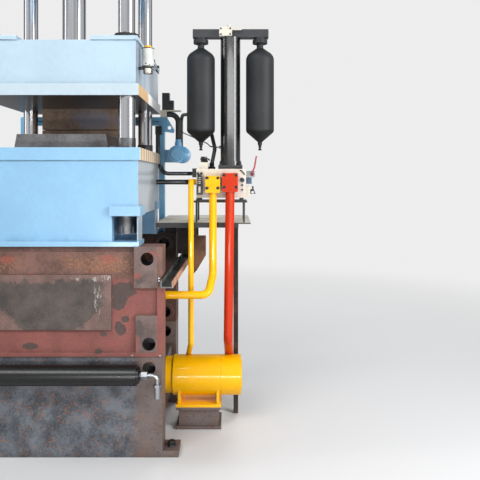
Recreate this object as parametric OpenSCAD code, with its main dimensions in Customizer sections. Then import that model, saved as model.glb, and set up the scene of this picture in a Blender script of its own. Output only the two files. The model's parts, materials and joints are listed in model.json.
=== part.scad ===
// Vertical cold-chamber die casting machine: a four-column press on two welded
// frames, with a horizontal shot cylinder, accumulators and pipework on its right.
// Millimetres, +Z up, front towards -Y, origin on the floor below the press centre.

/* [Base frames] */
// Width of both frames
frame_w = 1520; // [1450:1:1640]
// Depth of the base over both frames
base_d = 1200; // [1190:1:1400]
// Depth of one frame
frame_t = 200; // [160:1:230]
// Height of the lower section
lower_h = 688; // [650:1:760]
// Height of the upper section
upper_h = 750; // [740:1:860]
// Diameter of the frame holes
frame_hole_d = 88; // [60:1:100]
// Distance of the upper frame holes from the frame's side
frame_hole_in = 103; // [95:1:111]
// Depth that the front panel lies behind its plates
panel_step = 18; // [10:1:30]

/* [Press] */
// Column diameter
column_d = 120; // [90:1:130]
// Distance of the columns' axes from the platen's sides
column_in_x = 95; // [85:1:115]
// Distance of the columns' axes from the platen's front and back
column_in_y = 100; // [90:1:120]
// Width of the fixed platen box
platen_w = 1170; // [1150:1:1190]
// Distance of the fixed platen box from the base's front and back
platen_in = 60; // [55:1:70]
// Height of the fixed platen box
platen_h = 563; // [500:1:620]
// Thickness of the flange under the platen
flange_t = 30; // [20:1:40]
// Height of the corner pockets
pocket_h = 177; // [165:1:200]
// Thickness of the bed plate
bed_t = 88; // [60:1:110]
// Height of the lower die
lower_die_h = 107; // [80:1:130]
// Height of the lower die's holder
holder_h = 182; // [150:1:220]
// Height of the upper die
upper_die_h = 173; // [150:1:240]
// Gap between the dies at rest
die_gap = 6; // [6:1:60]
// Width of the dies
die_w = 662; // [500:1:700]
// Thickness of the moving face plate
face_t = 82; // [60:1:100]
// Height of the moving platen box
moving_h = 304; // [250:1:360]
// Height from the moving platen to the crosshead
daylight = 634; // [620:1:700]
// Height of the crosshead
crosshead_h = 480; // [400:1:560]
// Diameter of the clamp cylinder
clamp_d = 520; // [440:1:560]
// Height of the clamp cylinder
clamp_h = 700; // [690:1:800]
// Diameter of the clamp rod
rod_d = 180; // [140:1:220]

/* [Shot unit] */
// Diameter of the shot cylinder
shot_d = 304; // [280:1:330]
// Height of the shot axis
shot_z = 372; // [360:1:390]
// Length of the shot barrel
shot_len = 366; // [366:1:420]
// Length of the shot head
head_len = 155; // [155:1:180]

/* [Pipework] */
// Diameter of the red pressure pipe
red_d = 68; // [50:1:76]
// Diameter of the large yellow pipe
yellow_d = 57; // [46:1:62]
// Diameter of the thin yellow pipe
thin_d = 41; // [30:1:44]
// Diameter of the accumulator shells
shell_d = 219; // [190:1:225]
// Diameter of the piston accumulator
piston_acc_d = 155; // [130:1:165]
// Height of the platform above the base
platform_rise = 133; // [120:1:150]
// Thickness of the platform
platform_t = 38; // [25:1:50]
// Width of the manifold block
manifold_w = 377; // [377:1:400]
// Height of the manifold block
manifold_h = 219; // [215:1:240]
// Diameter of the black cylinder in front of the base
front_cyl_d = 137; // [110:1:145]

/* [Hidden] */
$fn = 48;

// Colours as painted
light_blue = [0.58, 0.80, 0.95];
mid_blue = [0.25, 0.50, 0.70];
rust_red = [0.50, 0.28, 0.22];
raw_steel = [0.62, 0.57, 0.50];
dark_steel = [0.26, 0.27, 0.30];
black = [0.07, 0.07, 0.08];
chrome = [0.85, 0.86, 0.88];
golden = [0.98, 0.74, 0.03];
red = [0.88, 0.26, 0.11];
cream = [0.88, 0.86, 0.81];

// How far a straight pipe enters its elbow, and how much wider the elbow is
elbow_lap = 1;
elbow_step = 0.8;

// Clearances: a seat beside a curved face, and a guide bush on its column
seat = 0.3;
guide = 0.5;

// Levels from the floor up
base_top = lower_h + upper_h;
box_z = base_top + flange_t;
bed_z = box_z + platen_h;
bed_top = bed_z + bed_t;
upper_die_z = bed_top + holder_h + die_gap;
face_z = upper_die_z + upper_die_h;
moving_z = face_z + face_t;
moving_top = moving_z + moving_h;
crosshead_z = moving_top + daylight;
crosshead_top = crosshead_z + crosshead_h;
base_y = base_d / 2;
platen_x = platen_w / 2;
platen_y = base_y - platen_in;
cx = platen_x - column_in_x;
cy = platen_y - column_in_y;
bed_x = platen_x + 15;
bed_y = platen_y + 10;
frame_x = frame_w / 2;
frame_hole_x = frame_x - frame_hole_in;
lower_hole_x = frame_hole_x + 12;
frame_in = base_y - frame_t;

// Frame details
strip_w = 35;
lug_in = 90;
lip_h = 27;
rail_h = 38;
upper_lug_h = 283;
lower_lug_h = 253;
upper_hole_z = base_top - 84;
middle_hole_z = lower_h + 85;
lower_hole_z = lower_h - 82;
holes = [[frame_hole_x, upper_hole_z], [lower_hole_x, middle_hole_z], [lower_hole_x, lower_hole_z]];
patch_w = 820;
patch_h = 376;
patch_z = lower_h + 180;
boss_d = 146;
foot_w = 110;
foot_t = 40;
anchor_d = 34;
anchor_x = frame_x + foot_w / 2;
anchor_y = base_y - frame_t / 2;
tie_x = 350;
shot_tie_x = frame_x - 39;

// Platen details
pocket_x = platen_x - 180;
pocket_y = platen_y - 178;
pocket_wall = 6;
arch_x = platen_x - 140;
arch_y = pocket_y - 12;
foot_y = pocket_y - 101;
flange_x = platen_x + 15;
flange_y = base_y - 10;
pad_h = 66;
pad_out = 25;
nut_d = 136;
nut_h = 129;
top_nut_d = 190;
top_nut_h = 110;
collar_h = 70;
collar_d = 128;
slit = 5;
spanner_slots = 6;
spanner_w = 18;
spanner_depth = 6;
moving_x = platen_x - 15;
moving_y = platen_y - 5;
moving_back = platen_y + 139;
face_x = platen_x + 5;
die_y0 = 250;
strip_x = 255;
strip_h = 27;
cover_d = 171;
cover_h = 28;

// Right-hand side stations
shot_x = shot_tie_x;
flange_len = 62;
barrel_x = shot_x + flange_len;
seam = 1.5;
head_x = barrel_x + shot_len + seam;
head_end = head_x + head_len;
saddle_x = barrel_x + 40;
saddle_w = 315;
saddle_z = shot_z - 207;
platform_x0 = frame_x - 101;
platform_x1 = frame_x + 617;
platform_y0 = -170;
platform_y1 = base_y + 171;
platform_z = base_top + platform_rise;
platform_under = platform_z - platform_t;
deck_t = 10;
post_w = 38;
post_x = frame_x + 487;
post_y = 170;
web_y = frame_in - 100;
web_t = 12;
gusset_y = 72;
stand_h = 165;
stand_top = platform_z + stand_h;
manifold_z = stand_top + 22;
manifold_top = manifold_z + manifold_h;
manifold_x = frame_x + 205;
manifold_right = manifold_x + manifold_w;
manifold_y = 150;
pipe_y = -210;
block_t = 100;
drain_x = manifold_x - 36;
yellow_x = manifold_x + 128;
yellow_low = lower_h + 373;
red_x = manifold_x + 256;
tee = 46;
entry_y = 75;
tee_y = -125;
shell_y = 0;
trough_w = 84;
trough_h = 48;
trough_wall = 7;
trough_x = frame_x - 6;
trough_y = -base_y - 40;
trough_z = base_top - 274;
trough_len = base_y + frame_in + 80;
trough_pitch = 3.9;
trough_yaw = 3.4;
gusset_x = trough_x + 136;
gusset_low = platform_under - 396;
left_shell_x = manifold_x + 27;
right_shell_x = manifold_x + 489;
piston_x = manifold_x + 258;
shell_dome = 96;
upper_shoulder = 70;
lower_shoulder = 35;
acc_foot = piston_acc_d * 1.2;
boss_z = manifold_top + 173;
beam_z = manifold_top + 1024;
beam_h = 63;
beam_t = 80;
beam_x0 = manifold_x - 35;
beam_x1 = manifold_x + 554;
portal_y = base_y;
portal_t = 70;
portal_x = platen_x + 2;
portal_w = 49;
portal_top = bed_top + 329;
channel_h = 72;
pump_x = platen_x + 170;
pump_y = portal_y - 100;
pump_z = bed_top - 1;
pump_d = 151;
pump_neck_y = portal_y + portal_t / 2;
motor_x = pump_x + 28;
motor_d = 150;
port_x = pump_x + 18;
port_y = pump_y + 250;
valve_seat_h = 62;
valve_seat_x0 = portal_x + 13;
valve_seat_x1 = portal_x + 69;
valve_seat_tip = portal_x + 193;
valve_plate_t = 10;
cyl_y = -base_y - front_cyl_d / 2 - 8;
cyl_z = lower_h - 100;
cyl_right = 600;
lever_x = manifold_right + 49;
lever_z = manifold_top - 39;
lever_y = -50;

// Four corners of a rectangle, for whatever repeats at the columns
module corners(x, y) {
    for (sx = [-1, 1], sy = [-1, 1])
        translate([sx * x, sy * y, 0]) children();
}

// Block from its lowest to its highest corner
module block(low, high) {
    translate(low) cube(high - low);
}

// Cylinder with its axis along X, from x0 to x1
module bar_x(d, x0, x1) {
    translate([x0, 0, 0]) rotate([0, 90, 0]) cylinder(d = d, h = x1 - x0);
}

// Cylinder with its axis along Y, from y0 to y1
module bar_y(d, y0, y1) {
    translate([0, y1, 0]) rotate([90, 0, 0]) cylinder(d = d, h = y1 - y0);
}

function unit(v) = v / norm(v);

// Heights of the trough's underside and rim above a place on its length
function trough_floor(y) = trough_z + (y - trough_y) * tan(trough_pitch);
function trough_top(y) = trough_floor(y) + trough_h / cos(trough_pitch);

// Frame whose X, Y and Z directions are a, b and c, at point p
function frame_at(p, a, b, c) = [
    [a[0], b[0], c[0], p[0]],
    [a[1], b[1], c[1], p[1]],
    [a[2], b[2], c[2], p[2]],
    [0, 0, 0, 1]];

// Round tube along straight runs between points, with bends of radius r
module pipe_run(points, d, r) {
    last = len(points) - 1;
    dirs = [for (i = [0:last - 1]) unit(points[i + 1] - points[i])];
    turns = [for (i = [0:last]) i == 0 || i == last ? 0 : acos(dirs[i - 1] * dirs[i])];
    trims = [for (i = [0:last]) r * tan(turns[i] / 2)];
    for (i = [0:last - 1]) {
        side = unit(cross(dirs[i], abs(dirs[i][2]) > 0.9 ? [1, 0, 0] : [0, 0, 1]));
        before = i > 0 ? elbow_lap : 0;
        after = i < last - 1 ? elbow_lap : 0;
        start = points[i] + dirs[i] * (trims[i] - before);
        length = norm(points[i + 1] - points[i]) - trims[i] - trims[i + 1] + before + after;
        multmatrix(frame_at(start, side, cross(dirs[i], side), dirs[i]))
            cylinder(d = d, h = length);
    }
    if (last > 1) for (i = [1:last - 1]) {
        axis = unit(cross(dirs[i - 1], dirs[i]));
        inward = cross(axis, dirs[i - 1]);
        centre = points[i] - dirs[i - 1] * trims[i] + inward * r;
        multmatrix(frame_at(centre, -inward, dirs[i - 1], axis))
            rotate_extrude(angle = turns[i]) translate([r, 0]) circle(d = d + elbow_step);
    }
}

// Box of one frame from z0 to z1, its outer face on the plane y = face_y
module box_frame(front, face_y, z0, z1) {
    block([-frame_x, front ? face_y : frame_in, z0], [frame_x, front ? -frame_in : -face_y, z1]);
}

// Welded upper frame; the front one has its panel set back between the strips
module frame_section(front) {
    inner = -base_y + panel_step;
    difference() {
        box_frame(front, -base_y, lower_h, base_top);
        if (front) {
            block([-frame_x + strip_w, -base_y - 1, lower_h + lip_h],
                [frame_x - strip_w, inner, base_top - rail_h]);
            block([-frame_x + strip_w, -base_y - 1, base_top - rail_h],
                [frame_x - strip_w, inner + 14, base_top + 1]);
            block([trough_x - 3, -base_y - 1, trough_floor(-base_y) - seat],
                [frame_x + 1, -frame_in + 1, trough_top(-frame_in) + 10]);
        }
        frame_holes();
    }
    if (!front)
        for (side = [-1, 1], i = [0, 1])
            translate([side * holes[i][0], 0, holes[i][1]]) difference() {
                bar_y(boss_d, frame_in - 12, frame_in + 1);
                bar_y(frame_hole_d, frame_in - 13, frame_in + 2);
            }
    if (!front)
        block([frame_x - 1, frame_in, trough_floor(frame_in) - 60],
            [frame_x + 110, frame_in + 30, trough_floor(frame_in) - seat]);
}

module frame_holes() {
    for (side = [-1, 1], hole = holes)
        translate([side * hole[0], 0, hole[1]]) bar_y(frame_hole_d, -base_y - 50, base_y + 50);
}

module front_frame() {
    color(rust_red) frame_section(true);
}

module rear_frame() {
    color(rust_red) frame_section(false);
}

// Thick lower plates of both frames, with their anchored feet
module lower_sections() {
    color(dark_steel) for (side = [-1, 1]) difference() {
        union() {
            box_frame(side < 0, -base_y + 8, 0, lower_h);
            block([-frame_x - foot_w, side * anchor_y - frame_t / 2 + 8, 0],
                [frame_x + foot_w, side * anchor_y + frame_t / 2 - 8, foot_t]);
        }
        frame_holes();
        for (end = [-1, 1])
            translate([end * anchor_x, side * anchor_y, -1]) cylinder(d = anchor_d, h = foot_t + 2);
    }
}

// Beams that join the frames below the press and behind the shot cylinder
module frame_ties() {
    color(dark_steel) {
        for (side = [-1, 1])
            block([side > 0 ? 120 : -tie_x, -frame_in, lower_h],
                [side > 0 ? tie_x : -120, frame_in, base_top]);
        block([-shot_tie_x, -frame_in, 120], [shot_tie_x, frame_in, shot_z + 128]);
    }
}

// Plates welded on the front panel: two lugs a side and the patch in the middle
module front_plates() {
    color(rust_red) {
        for (side = [0, 1]) mirror([side, 0, 0]) {
            lug(base_top - upper_lug_h, base_top, holes[0]);
            lug(lower_h + lip_h, lower_h + lip_h + lower_lug_h, holes[1]);
            block([frame_hole_x - lug_in, -base_y + panel_step - 1, base_top - rail_h],
                [frame_x - strip_w, -base_y + panel_step + 14, base_top]);
        }
        block([-patch_w / 2, -base_y + 4, patch_z],
            [patch_w / 2, -base_y + panel_step, patch_z + patch_h]);
    }
}

// Lug from z0 to z1 between its inner edge and the frame's side strip
module lug(z0, z1, hole) {
    difference() {
        block([hole[0] - lug_in, -base_y, z0], [frame_x - strip_w, -base_y + panel_step, z1]);
        translate([hole[0], 0, hole[1]]) bar_y(frame_hole_d, -base_y - 2, 0);
    }
}

// Box casting: a pocket for the column nut at each corner, open to the front or
// back, an arch between the pockets at each side and a rib that carries the portal
module fixed_platen() {
    color(light_blue) difference() {
        union() {
            block([-platen_x, -platen_y, box_z], [platen_x, platen_y, bed_z]);
            block([-flange_x, -flange_y, base_top], [flange_x, flange_y, box_z + 1]);
            block([-platen_x, platen_y - 1, box_z + pocket_h + pad_h + 4], [platen_x, portal_y, bed_z]);
            for (sx = [-1, 1], sy = [-1, 1])
                scale_side(sx, sy)
                    block([pocket_x - 13, arch_y, box_z + pocket_h],
                        [platen_x + pad_out - 5, platen_y + pad_out, box_z + pocket_h + pad_h]);
        }
        for (sx = [-1, 1], sy = [-1, 1])
            scale_side(sx, sy)
                block([pocket_x, pocket_y, box_z],
                    [platen_x - pocket_wall, platen_y + 1, box_z + pocket_h]);
        for (sx = [-1, 1])
            scale_side(sx, 1) {
                block([arch_x, -arch_y, base_top - 1], [flange_x + 1, arch_y, box_z + pocket_h]);
                for (sy = [0, 1]) mirror([0, sy, 0])
                    block([platen_x - pocket_wall, foot_y, base_top - 1],
                        [flange_x + 1, arch_y + 1, box_z]);
            }
        corners(cx, cy) translate([0, 0, box_z + pocket_h - 1])
            cylinder(d = column_d + 2 * seat, h = platen_h);
    }
}

// Mirror into one of the four quarters
module scale_side(sx, sy) {
    mirror([sx < 0 ? 1 : 0, 0, 0]) mirror([0, sy < 0 ? 1 : 0, 0]) children();
}

module bed_plate() {
    color(raw_steel) difference() {
        block([-bed_x, -bed_y, bed_z], [bed_x, bed_y, bed_top]);
        corners(cx, cy) translate([0, 0, bed_z - 1]) cylinder(d = column_d + 2 * seat, h = bed_t + 2);
    }
}

module ring(d, bore, h) {
    difference() {
        cylinder(d = d, h = h);
        translate([0, 0, -1]) cylinder(d = bore, h = h + 2);
    }
}

// Round nut with slots for a hook spanner round one end, from slot_z0 to slot_z1
module round_nut(d, h, slot_z0, slot_z1) {
    difference() {
        ring(d, column_d + 2 * seat, h);
        for (i = [1:spanner_slots]) rotate(i * 360 / spanner_slots + 15)
            block([d / 2 - spanner_depth, -spanner_w / 2, slot_z0], [d / 2 + 1, spanner_w / 2, slot_z1]);
    }
}

// Nuts in the platen pockets and on the crosshead
module column_nuts() {
    color(dark_steel) {
        corners(cx, cy) translate([0, 0, box_z + pocket_h - nut_h])
            round_nut(nut_d, nut_h, -1, nut_h * 0.4);
        corners(cx, cy) translate([0, 0, crosshead_top])
            round_nut(top_nut_d, top_nut_h, top_nut_h * 0.5, top_nut_h + 1);
    }
}

// Split collars on the bed plate
module column_collars() {
    color(dark_steel) corners(cx, cy) translate([0, 0, bed_top])
        difference() {
            ring(collar_d, column_d + 2 * seat, collar_h);
            block([0, -slit / 2, -1], [collar_d, slit / 2, collar_h + 1]);
        }
}

module columns() {
    foot = box_z + pocket_h - nut_h;
    color(chrome) corners(cx, cy) translate([0, 0, foot])
        cylinder(d = column_d, h = crosshead_top + 140 - foot);
}

// Bolster in front of the die's holder, wider at its foot
module lower_die() {
    color(dark_steel) translate([0, die_y0 - 10, bed_top]) rotate([90, 0, 0])
        linear_extrude(die_y0 + 340) polygon([[-die_w / 2 - 11, 0], [die_w / 2 + 11, 0],
            [die_w / 2 - 8, lower_die_h], [-die_w / 2 + 8, lower_die_h]]);
}

module die_holder() {
    color(dark_steel)
        block([-die_w / 2, die_y0, bed_top], [die_w / 2, platen_y, bed_top + holder_h]);
}

module crosshead() {
    color(light_blue) difference() {
        union() {
            block([-bed_x, -bed_y, crosshead_z], [bed_x, bed_y, crosshead_z + 70]);
            block([-platen_x, -platen_y, crosshead_z + 70], [platen_x, platen_y, crosshead_top]);
        }
        corners(cx, cy) translate([0, 0, crosshead_z - 1])
            cylinder(d = column_d + 2 * seat, h = crosshead_h + 2);
        translate([0, 0, crosshead_z - 1]) cylinder(d = rod_d + 2 * guide, h = crosshead_h + 2);
    }
}

// Clamp cylinder: foot flange, barrel and head, bored for the rod
module clamp_cylinder() {
    color(light_blue) translate([0, 0, crosshead_top]) difference() {
        rotate_extrude() polygon([[0, 0], [clamp_d / 2 + 70, 0], [clamp_d / 2 + 70, 60],
            [clamp_d / 2, 60], [clamp_d / 2, clamp_h - 90], [clamp_d / 2 + 35, clamp_h - 90],
            [clamp_d / 2 + 35, clamp_h - 10], [clamp_d / 2 + 25, clamp_h], [0, clamp_h]]);
        translate([0, 0, -1]) cylinder(d = rod_d + 2 * guide, h = clamp_h - 29);
    }
}

// Deck plate on a welded frame of bars that ends at the posts
module platform() {
    end_x = post_x + post_w;
    color(black) difference() {
        union() {
            block([platform_x0, platform_y0, platform_z - deck_t], [platform_x1, platform_y1, platform_z]);
            block([platform_x0, platform_y0, platform_under], [end_x, platform_y1, platform_z - 1]);
        }
        for (y = [platform_y0 + post_w, post_y + post_w])
            block([platform_x0 + post_w, y, platform_under - 1],
                [end_x - post_w, y > 0 ? platform_y1 - post_w : post_y, platform_z - deck_t]);
    }
}

// Posts on the right, a rail between them, the sheets below the platform and the
// packing on the rear frame
module rack_frame() {
    color(rust_red) {
        for (y = [post_y, platform_y1 - 50])
            translate([post_x, y, 0]) cube([post_w, post_w, platform_under]);
        block([post_x, post_y + post_w - 1, 110], [post_x + post_w, platform_y1 - 49, 148]);
        block([gusset_x - 112, web_y, trough_top(web_y) + 2],
            [gusset_x + 65, web_y + web_t, platform_z - deck_t]);
        block([platform_x0, frame_in + 20, base_top], [frame_x, base_y - 12, platform_under]);
        rack_gusset();
    }
}

// Sheet with a step at its top and a sloping lower corner
module rack_gusset() {
    translate([0, gusset_y, 0]) rotate([90, 0, 0]) linear_extrude(web_t)
        polygon([[gusset_x, gusset_low], [gusset_x + 30, gusset_low], [gusset_x + 67, gusset_low + 40],
            [gusset_x + 138, gusset_low + 159], [gusset_x + 138, platform_under - 81],
            [gusset_x + 65, platform_under - 81], [gusset_x + 65, platform_z - deck_t],
            [gusset_x, platform_z - deck_t]]);
}

// Angle-iron stand of the manifold, with its packing strips
module manifold_stand() {
    angle = 36;
    wall = 14;
    x0 = manifold_x - 23;
    x1 = manifold_right + 9;
    leg_in = 17;
    color(black) {
        for (y = [-manifold_y, manifold_y - angle]) {
            block([x0, y, stand_top - wall], [x1, y + angle, stand_top]);
            for (x = [x0 + leg_in, x1 - wall - leg_in])
                block([x, y, platform_z], [x + wall, y + wall, stand_top - 1]);
        }
        for (x = [x0 + 23, x1 - 57])
            block([x, -manifold_y + 10, stand_top], [x + 30, manifold_y - 10, manifold_z]);
    }
}

// Steel block with a raised pad and a side block
module manifold_block() {
    color(cream) union() {
        block([manifold_x, -manifold_y, manifold_z], [manifold_right, manifold_y, manifold_top]);
        block([manifold_x + 16, -60, manifold_top], [manifold_x + 84, 60, manifold_top + 52]);
        block([manifold_right, -90, manifold_z + 6], [manifold_right + 33, 20, manifold_z + 88]);
    }
}

// Small valves on the block: cartridge, pilot valve, side valve and plugs
module manifold_valves() {
    front = -manifold_y;
    color(black) {
        translate([manifold_x + 27, front, manifold_z + 32]) {
            block([-22, -46, -7], [22, 0, 70]);
            translate([0, -23, 70]) cylinder(d = 34, h = 76);
        }
        translate([manifold_x + 50, 0, manifold_top + 52]) cylinder(d = 48, h = 46);
        translate([manifold_right + 33, -35, manifold_z + 52]) {
            bar_x(22, 0, 14);
            translate([22, 0, -24]) cylinder(d1 = 44, d2 = 14, h = 36);
            translate([22, 0, 11]) cylinder(d = 13, h = 24);
        }
        for (z = [60, 96, 134]) translate([manifold_right - 30, 0, manifold_z + z])
            bar_y(z == 134 ? 34 : 14, front - 7, front);
    }
}

// Half section of a dome above z = 0: a rounded shoulder, then a straight cone up to the neck
module dome_half(r, shoulder, neck, h) {
    centre = [r - shoulder, 0];
    reach = [neck, h] - centre;
    turn = atan2(reach[1], reach[0]) - acos(shoulder / norm(reach));
    touch = centre + shoulder * [cos(turn), sin(turn)];
    intersection() {
        translate(centre) circle(r = shoulder, $fn = 96);
        square([r, h]);
    }
    polygon([[0, 0], centre, touch, [neck, h], [0, h]]);
}

// One bladder shell hanging from its neck ring, revolved
module shell_profile() {
    r = shell_d / 2;
    top = beam_z - 174;
    bottom = manifold_top + 308;
    rotate_extrude() {
        translate([0, bottom]) square([r, top - bottom]);
        translate([0, top]) dome_half(r, upper_shoulder, 26, shell_dome);
        translate([0, bottom]) mirror([0, 1]) dome_half(r, lower_shoulder, 17, shell_dome);
        translate([0, top + shell_dome - 1]) square([26, beam_z - 42 - top - shell_dome + 1]);
        translate([0, beam_z - 43]) square([58, 26]);
        translate([0, beam_z - 18]) square([47, 18]);
        translate([0, bottom - shell_dome - 22]) square([17, 23]);
        translate([0, bottom - shell_dome - 42]) square([12, 21]);
    }
}

module bladder_accumulators() {
    color(black) for (x = [left_shell_x, right_shell_x])
        translate([x, shell_y, 0]) shell_profile();
}

module piston_accumulator() {
    color(black) translate([piston_x, shell_y, manifold_top]) {
        translate([-acc_foot / 2, -acc_foot / 2, 0]) cube([acc_foot, acc_foot, 30]);
        translate([0, 0, 30]) cylinder(d = piston_acc_d + 14, h = 34);
        cylinder(d = piston_acc_d, h = beam_z - manifold_top);
        translate([0, 0, boss_z - manifold_top]) bar_x(24, -piston_acc_d / 2 - 12, 0);
    }
}

module gas_beam() {
    color(dark_steel) block([beam_x0, -beam_t / 2, beam_z], [beam_x1, beam_t / 2, beam_z + beam_h]);
}

module top_valve() {
    z = beam_z + 1;
    color(cream) {
        block([piston_x - 86, -beam_t / 2 - 48, z], [piston_x + 12, -beam_t / 2, z + 68]);
        translate([0, -beam_t / 2 - 24, z + 54]) bar_x(12, piston_x + 12, piston_x + 88);
    }
    color(black) translate([piston_x - 8, 0, beam_z + beam_h]) cylinder(d = 34, h = 40);
}

// Flange block on the manifold front: chamfered foot and four counterbores
module flange_block(x, w, h, z) {
    difference() {
        translate([x, -manifold_y, z]) rotate([90, 0, 0]) linear_extrude(block_t)
            polygon([[-w / 2 + 7, 0], [w / 2 - 7, 0], [w / 2, 12], [w / 2, h],
                [-w / 2, h], [-w / 2, 12]]);
        for (sx = [-1, 1], bolt_z = [z + 37, z + h - 16])
            translate([x + sx * (w / 2 - 15), 0, bolt_z])
                bar_y(25, -manifold_y - block_t - 1, -manifold_y - block_t + 16);
    }
}

module yellow_pipe() {
    x = yellow_x;
    z = manifold_z + 39;
    end_y = -frame_in + 48;
    color(golden) {
        flange_block(x, 109, 127, z);
        pipe_run([[x, pipe_y, z], [x, pipe_y, yellow_low + 129], [x - 30, end_y, yellow_low],
            [tie_x, end_y, yellow_low]], yellow_d, 62);
    }
}

module red_pipe() {
    x = red_x;
    low_x = x - 14;
    z = manifold_z + 45;
    color(red) {
        flange_block(x, 118, 141, z);
        difference() {
            pipe_run([[x, pipe_y, z], [low_x, pipe_y, shot_z + 330], [low_x + 4, entry_y, shot_z + 150],
                [low_x + 4, entry_y, shot_z + 60]], red_d, 80);
            translate([0, 0, shot_z]) bar_x(shot_d + 2 * seat, shot_x, head_end);
        }
    }
}

module drain_pipe() {
    x = drain_x;
    z = manifold_z + 120;
    color(golden) difference() {
        union() {
            block([x, tee_y, z] - tee * [1, 1, 1] / 2, [x, tee_y, z] + tee * [1, 1, 1] / 2);
            translate([0, tee_y, z]) bar_x(thin_d, x, manifold_x);
            pipe_run([[x, tee_y, z], [x, pipe_y, z], [x, pipe_y, shot_z + 297],
                [x - 40, entry_y, shot_z + 134], [x - 40, entry_y, shot_z + 60]], thin_d, 34);
        }
        translate([0, 0, shot_z]) bar_x(shot_d + 2 * seat, shot_x, head_end);
    }
}

module shot_cylinder() {
    color(golden) translate([0, 0, shot_z]) {
        bar_x(shot_d - 26, shot_x, shot_x + flange_len - 6);
        bar_x(shot_d - 46, shot_x + flange_len - 7, barrel_x + 1);
        bar_x(shot_d, barrel_x, head_x - seam);
        bar_x(shot_d - 6, head_x - seam - 1, head_x);
    }
}

// End cap with a stepped face and sockets for its bolts
module shot_head() {
    color(golden) translate([0, 0, shot_z]) difference() {
        union() {
            bar_x(shot_d, head_x, head_end);
            bar_x(shot_d - 86, head_end - 1, head_end + 6);
        }
        for (i = [0:11]) rotate([i * 30 + 15, 0, 0])
            translate([0, 0, shot_d / 2 - 21]) bar_x(24, head_end - 14, head_end + 8);
    }
}

// Two ribs shaped to the barrel on a foot plate
module shot_saddle() {
    plate_h = 20;
    color(golden) difference() {
        union() {
            for (x = [saddle_x, saddle_x + saddle_w - 20])
                block([x, -125, saddle_z], [x + 20, 125, shot_z - 40]);
            block([saddle_x - 14, -140, saddle_z], [saddle_x + saddle_w + 14, 140, saddle_z + plate_h]);
        }
        translate([0, 0, shot_z]) bar_x(shot_d + 2 * seat, shot_x, head_end);
    }
}

module shot_pedestal() {
    color(dark_steel) {
        block([saddle_x - 14, -140, saddle_z - 20], [saddle_x + saddle_w + 14, 140, saddle_z]);
        block([saddle_x + 6, -115, 20], [saddle_x + saddle_w - 6, 115, saddle_z - 20]);
        block([saddle_x - 14, -140, 0], [saddle_x + saddle_w + 14, 140, 20]);
    }
}

// Channel that slopes down to the front through the frame strip, closed at its high end
module trough() {
    color(dark_steel) translate([trough_x, trough_y, trough_z])
        rotate([trough_pitch, 0, -trough_yaw]) difference() {
            cube([trough_w, trough_len, trough_h]);
            translate([trough_wall, -1, trough_wall])
                cube([trough_w - 2 * trough_wall, trough_len - trough_wall + 1, trough_h]);
        }
}

// Black cylinder in front of the lower section, on blocks behind it
module front_cylinder() {
    color(black) translate([0, cyl_y, cyl_z]) {
        bar_x(front_cyl_d, -560, cyl_right);
        bar_x(front_cyl_d - 24, cyl_right - 1, cyl_right + 14);
        bar_x(56, cyl_right + 13, cyl_right + 30);
        for (x = [-420, 60]) difference() {
            block([x, 0, -45], [x + 70, -base_y + 8 - cyl_y, 45]);
            bar_x(front_cyl_d - 2, x - 1, x + 71);
        }
        bar_x(60, -720, -559);
        block([-760, -38, -38], [-719, 38, 38]);
    }
}

// Hexagon nut, bent tube and crimped hose end
module cylinder_fitting() {
    x = cyl_right + 30;
    elbow_x = x + 107;
    drop = 62;
    color(chrome) translate([0, cyl_y, cyl_z]) {
        translate([x, 0, 0]) rotate([30, 0, 0]) rotate([0, 90, 0]) cylinder(d = 60, h = 40, $fn = 6);
        pipe_run([[x + 39, 0, 0], [elbow_x, 0, 0], [elbow_x, 0, -drop]], 27, 39);
        translate([elbow_x, 0, -drop - 16]) cylinder(d = 54, h = 17, $fn = 6);
        translate([elbow_x, 0, -drop - 92]) cylinder(d = 40, h = 77);
    }
}

// Posts behind the press, the channel across them and the hose bracket
module rear_portal() {
    y = portal_y;
    color(mid_blue) {
        for (side = [0, 1]) mirror([side, 0, 0])
            block([portal_x, y, base_top - 240], [portal_x + portal_w, y + portal_t, portal_top]);
        difference() {
            block([-portal_x - portal_w, y, portal_top - channel_h],
                [portal_x + portal_w, y + portal_t, portal_top]);
            block([-portal_x, y - 1, portal_top - 46], [portal_x, y + 26, portal_top - 34]);
        }
        translate([0, y + 40, 0]) rotate([90, 0, 0]) linear_extrude(12) difference() {
            polygon([[portal_x + portal_w - 1, portal_top], [portal_x + portal_w + 20, portal_top],
                [pump_x - 32, portal_top - 112], [pump_x - 40, portal_top - 138],
                [portal_x + portal_w - 1, portal_top - 128]]);
            translate([portal_x + portal_w + 42, portal_top - 92]) circle(d = 32);
        }
        difference() {
            block([portal_x + portal_w - 1, pump_y + 150, pump_z - 70],
                [motor_x, pump_y + 162, pump_z + pump_d / 2 - 31]);
            translate([motor_x, 0, pump_z]) bar_y(motor_d + 2 * seat, pump_y, pump_y + 170);
        }
    }
}

// Small cylinder on the platen's rear rib, its head against the portal's post
module portal_cylinder() {
    x = portal_x - 7;
    y = portal_y - 25;
    head_z = portal_top - 157;
    color(black) {
        translate([x, y, bed_z]) cylinder(d = 36, h = head_z - bed_z + 1);
        block([x - 19, bed_y + 1, head_z], [x + 37, portal_y, head_z + 74]);
    }
}

// Stepped valve on the seat's plate
module portal_valve() {
    z = portal_top + valve_seat_h;
    x = portal_x + 28;
    color(black) {
        block([x, portal_y + 2, z], [x + 102, portal_y + portal_t - 2, z + 86]);
        block([x, portal_y + 2, z + 85], [x + 65, portal_y + portal_t - 2, z + 153]);
    }
}

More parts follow.
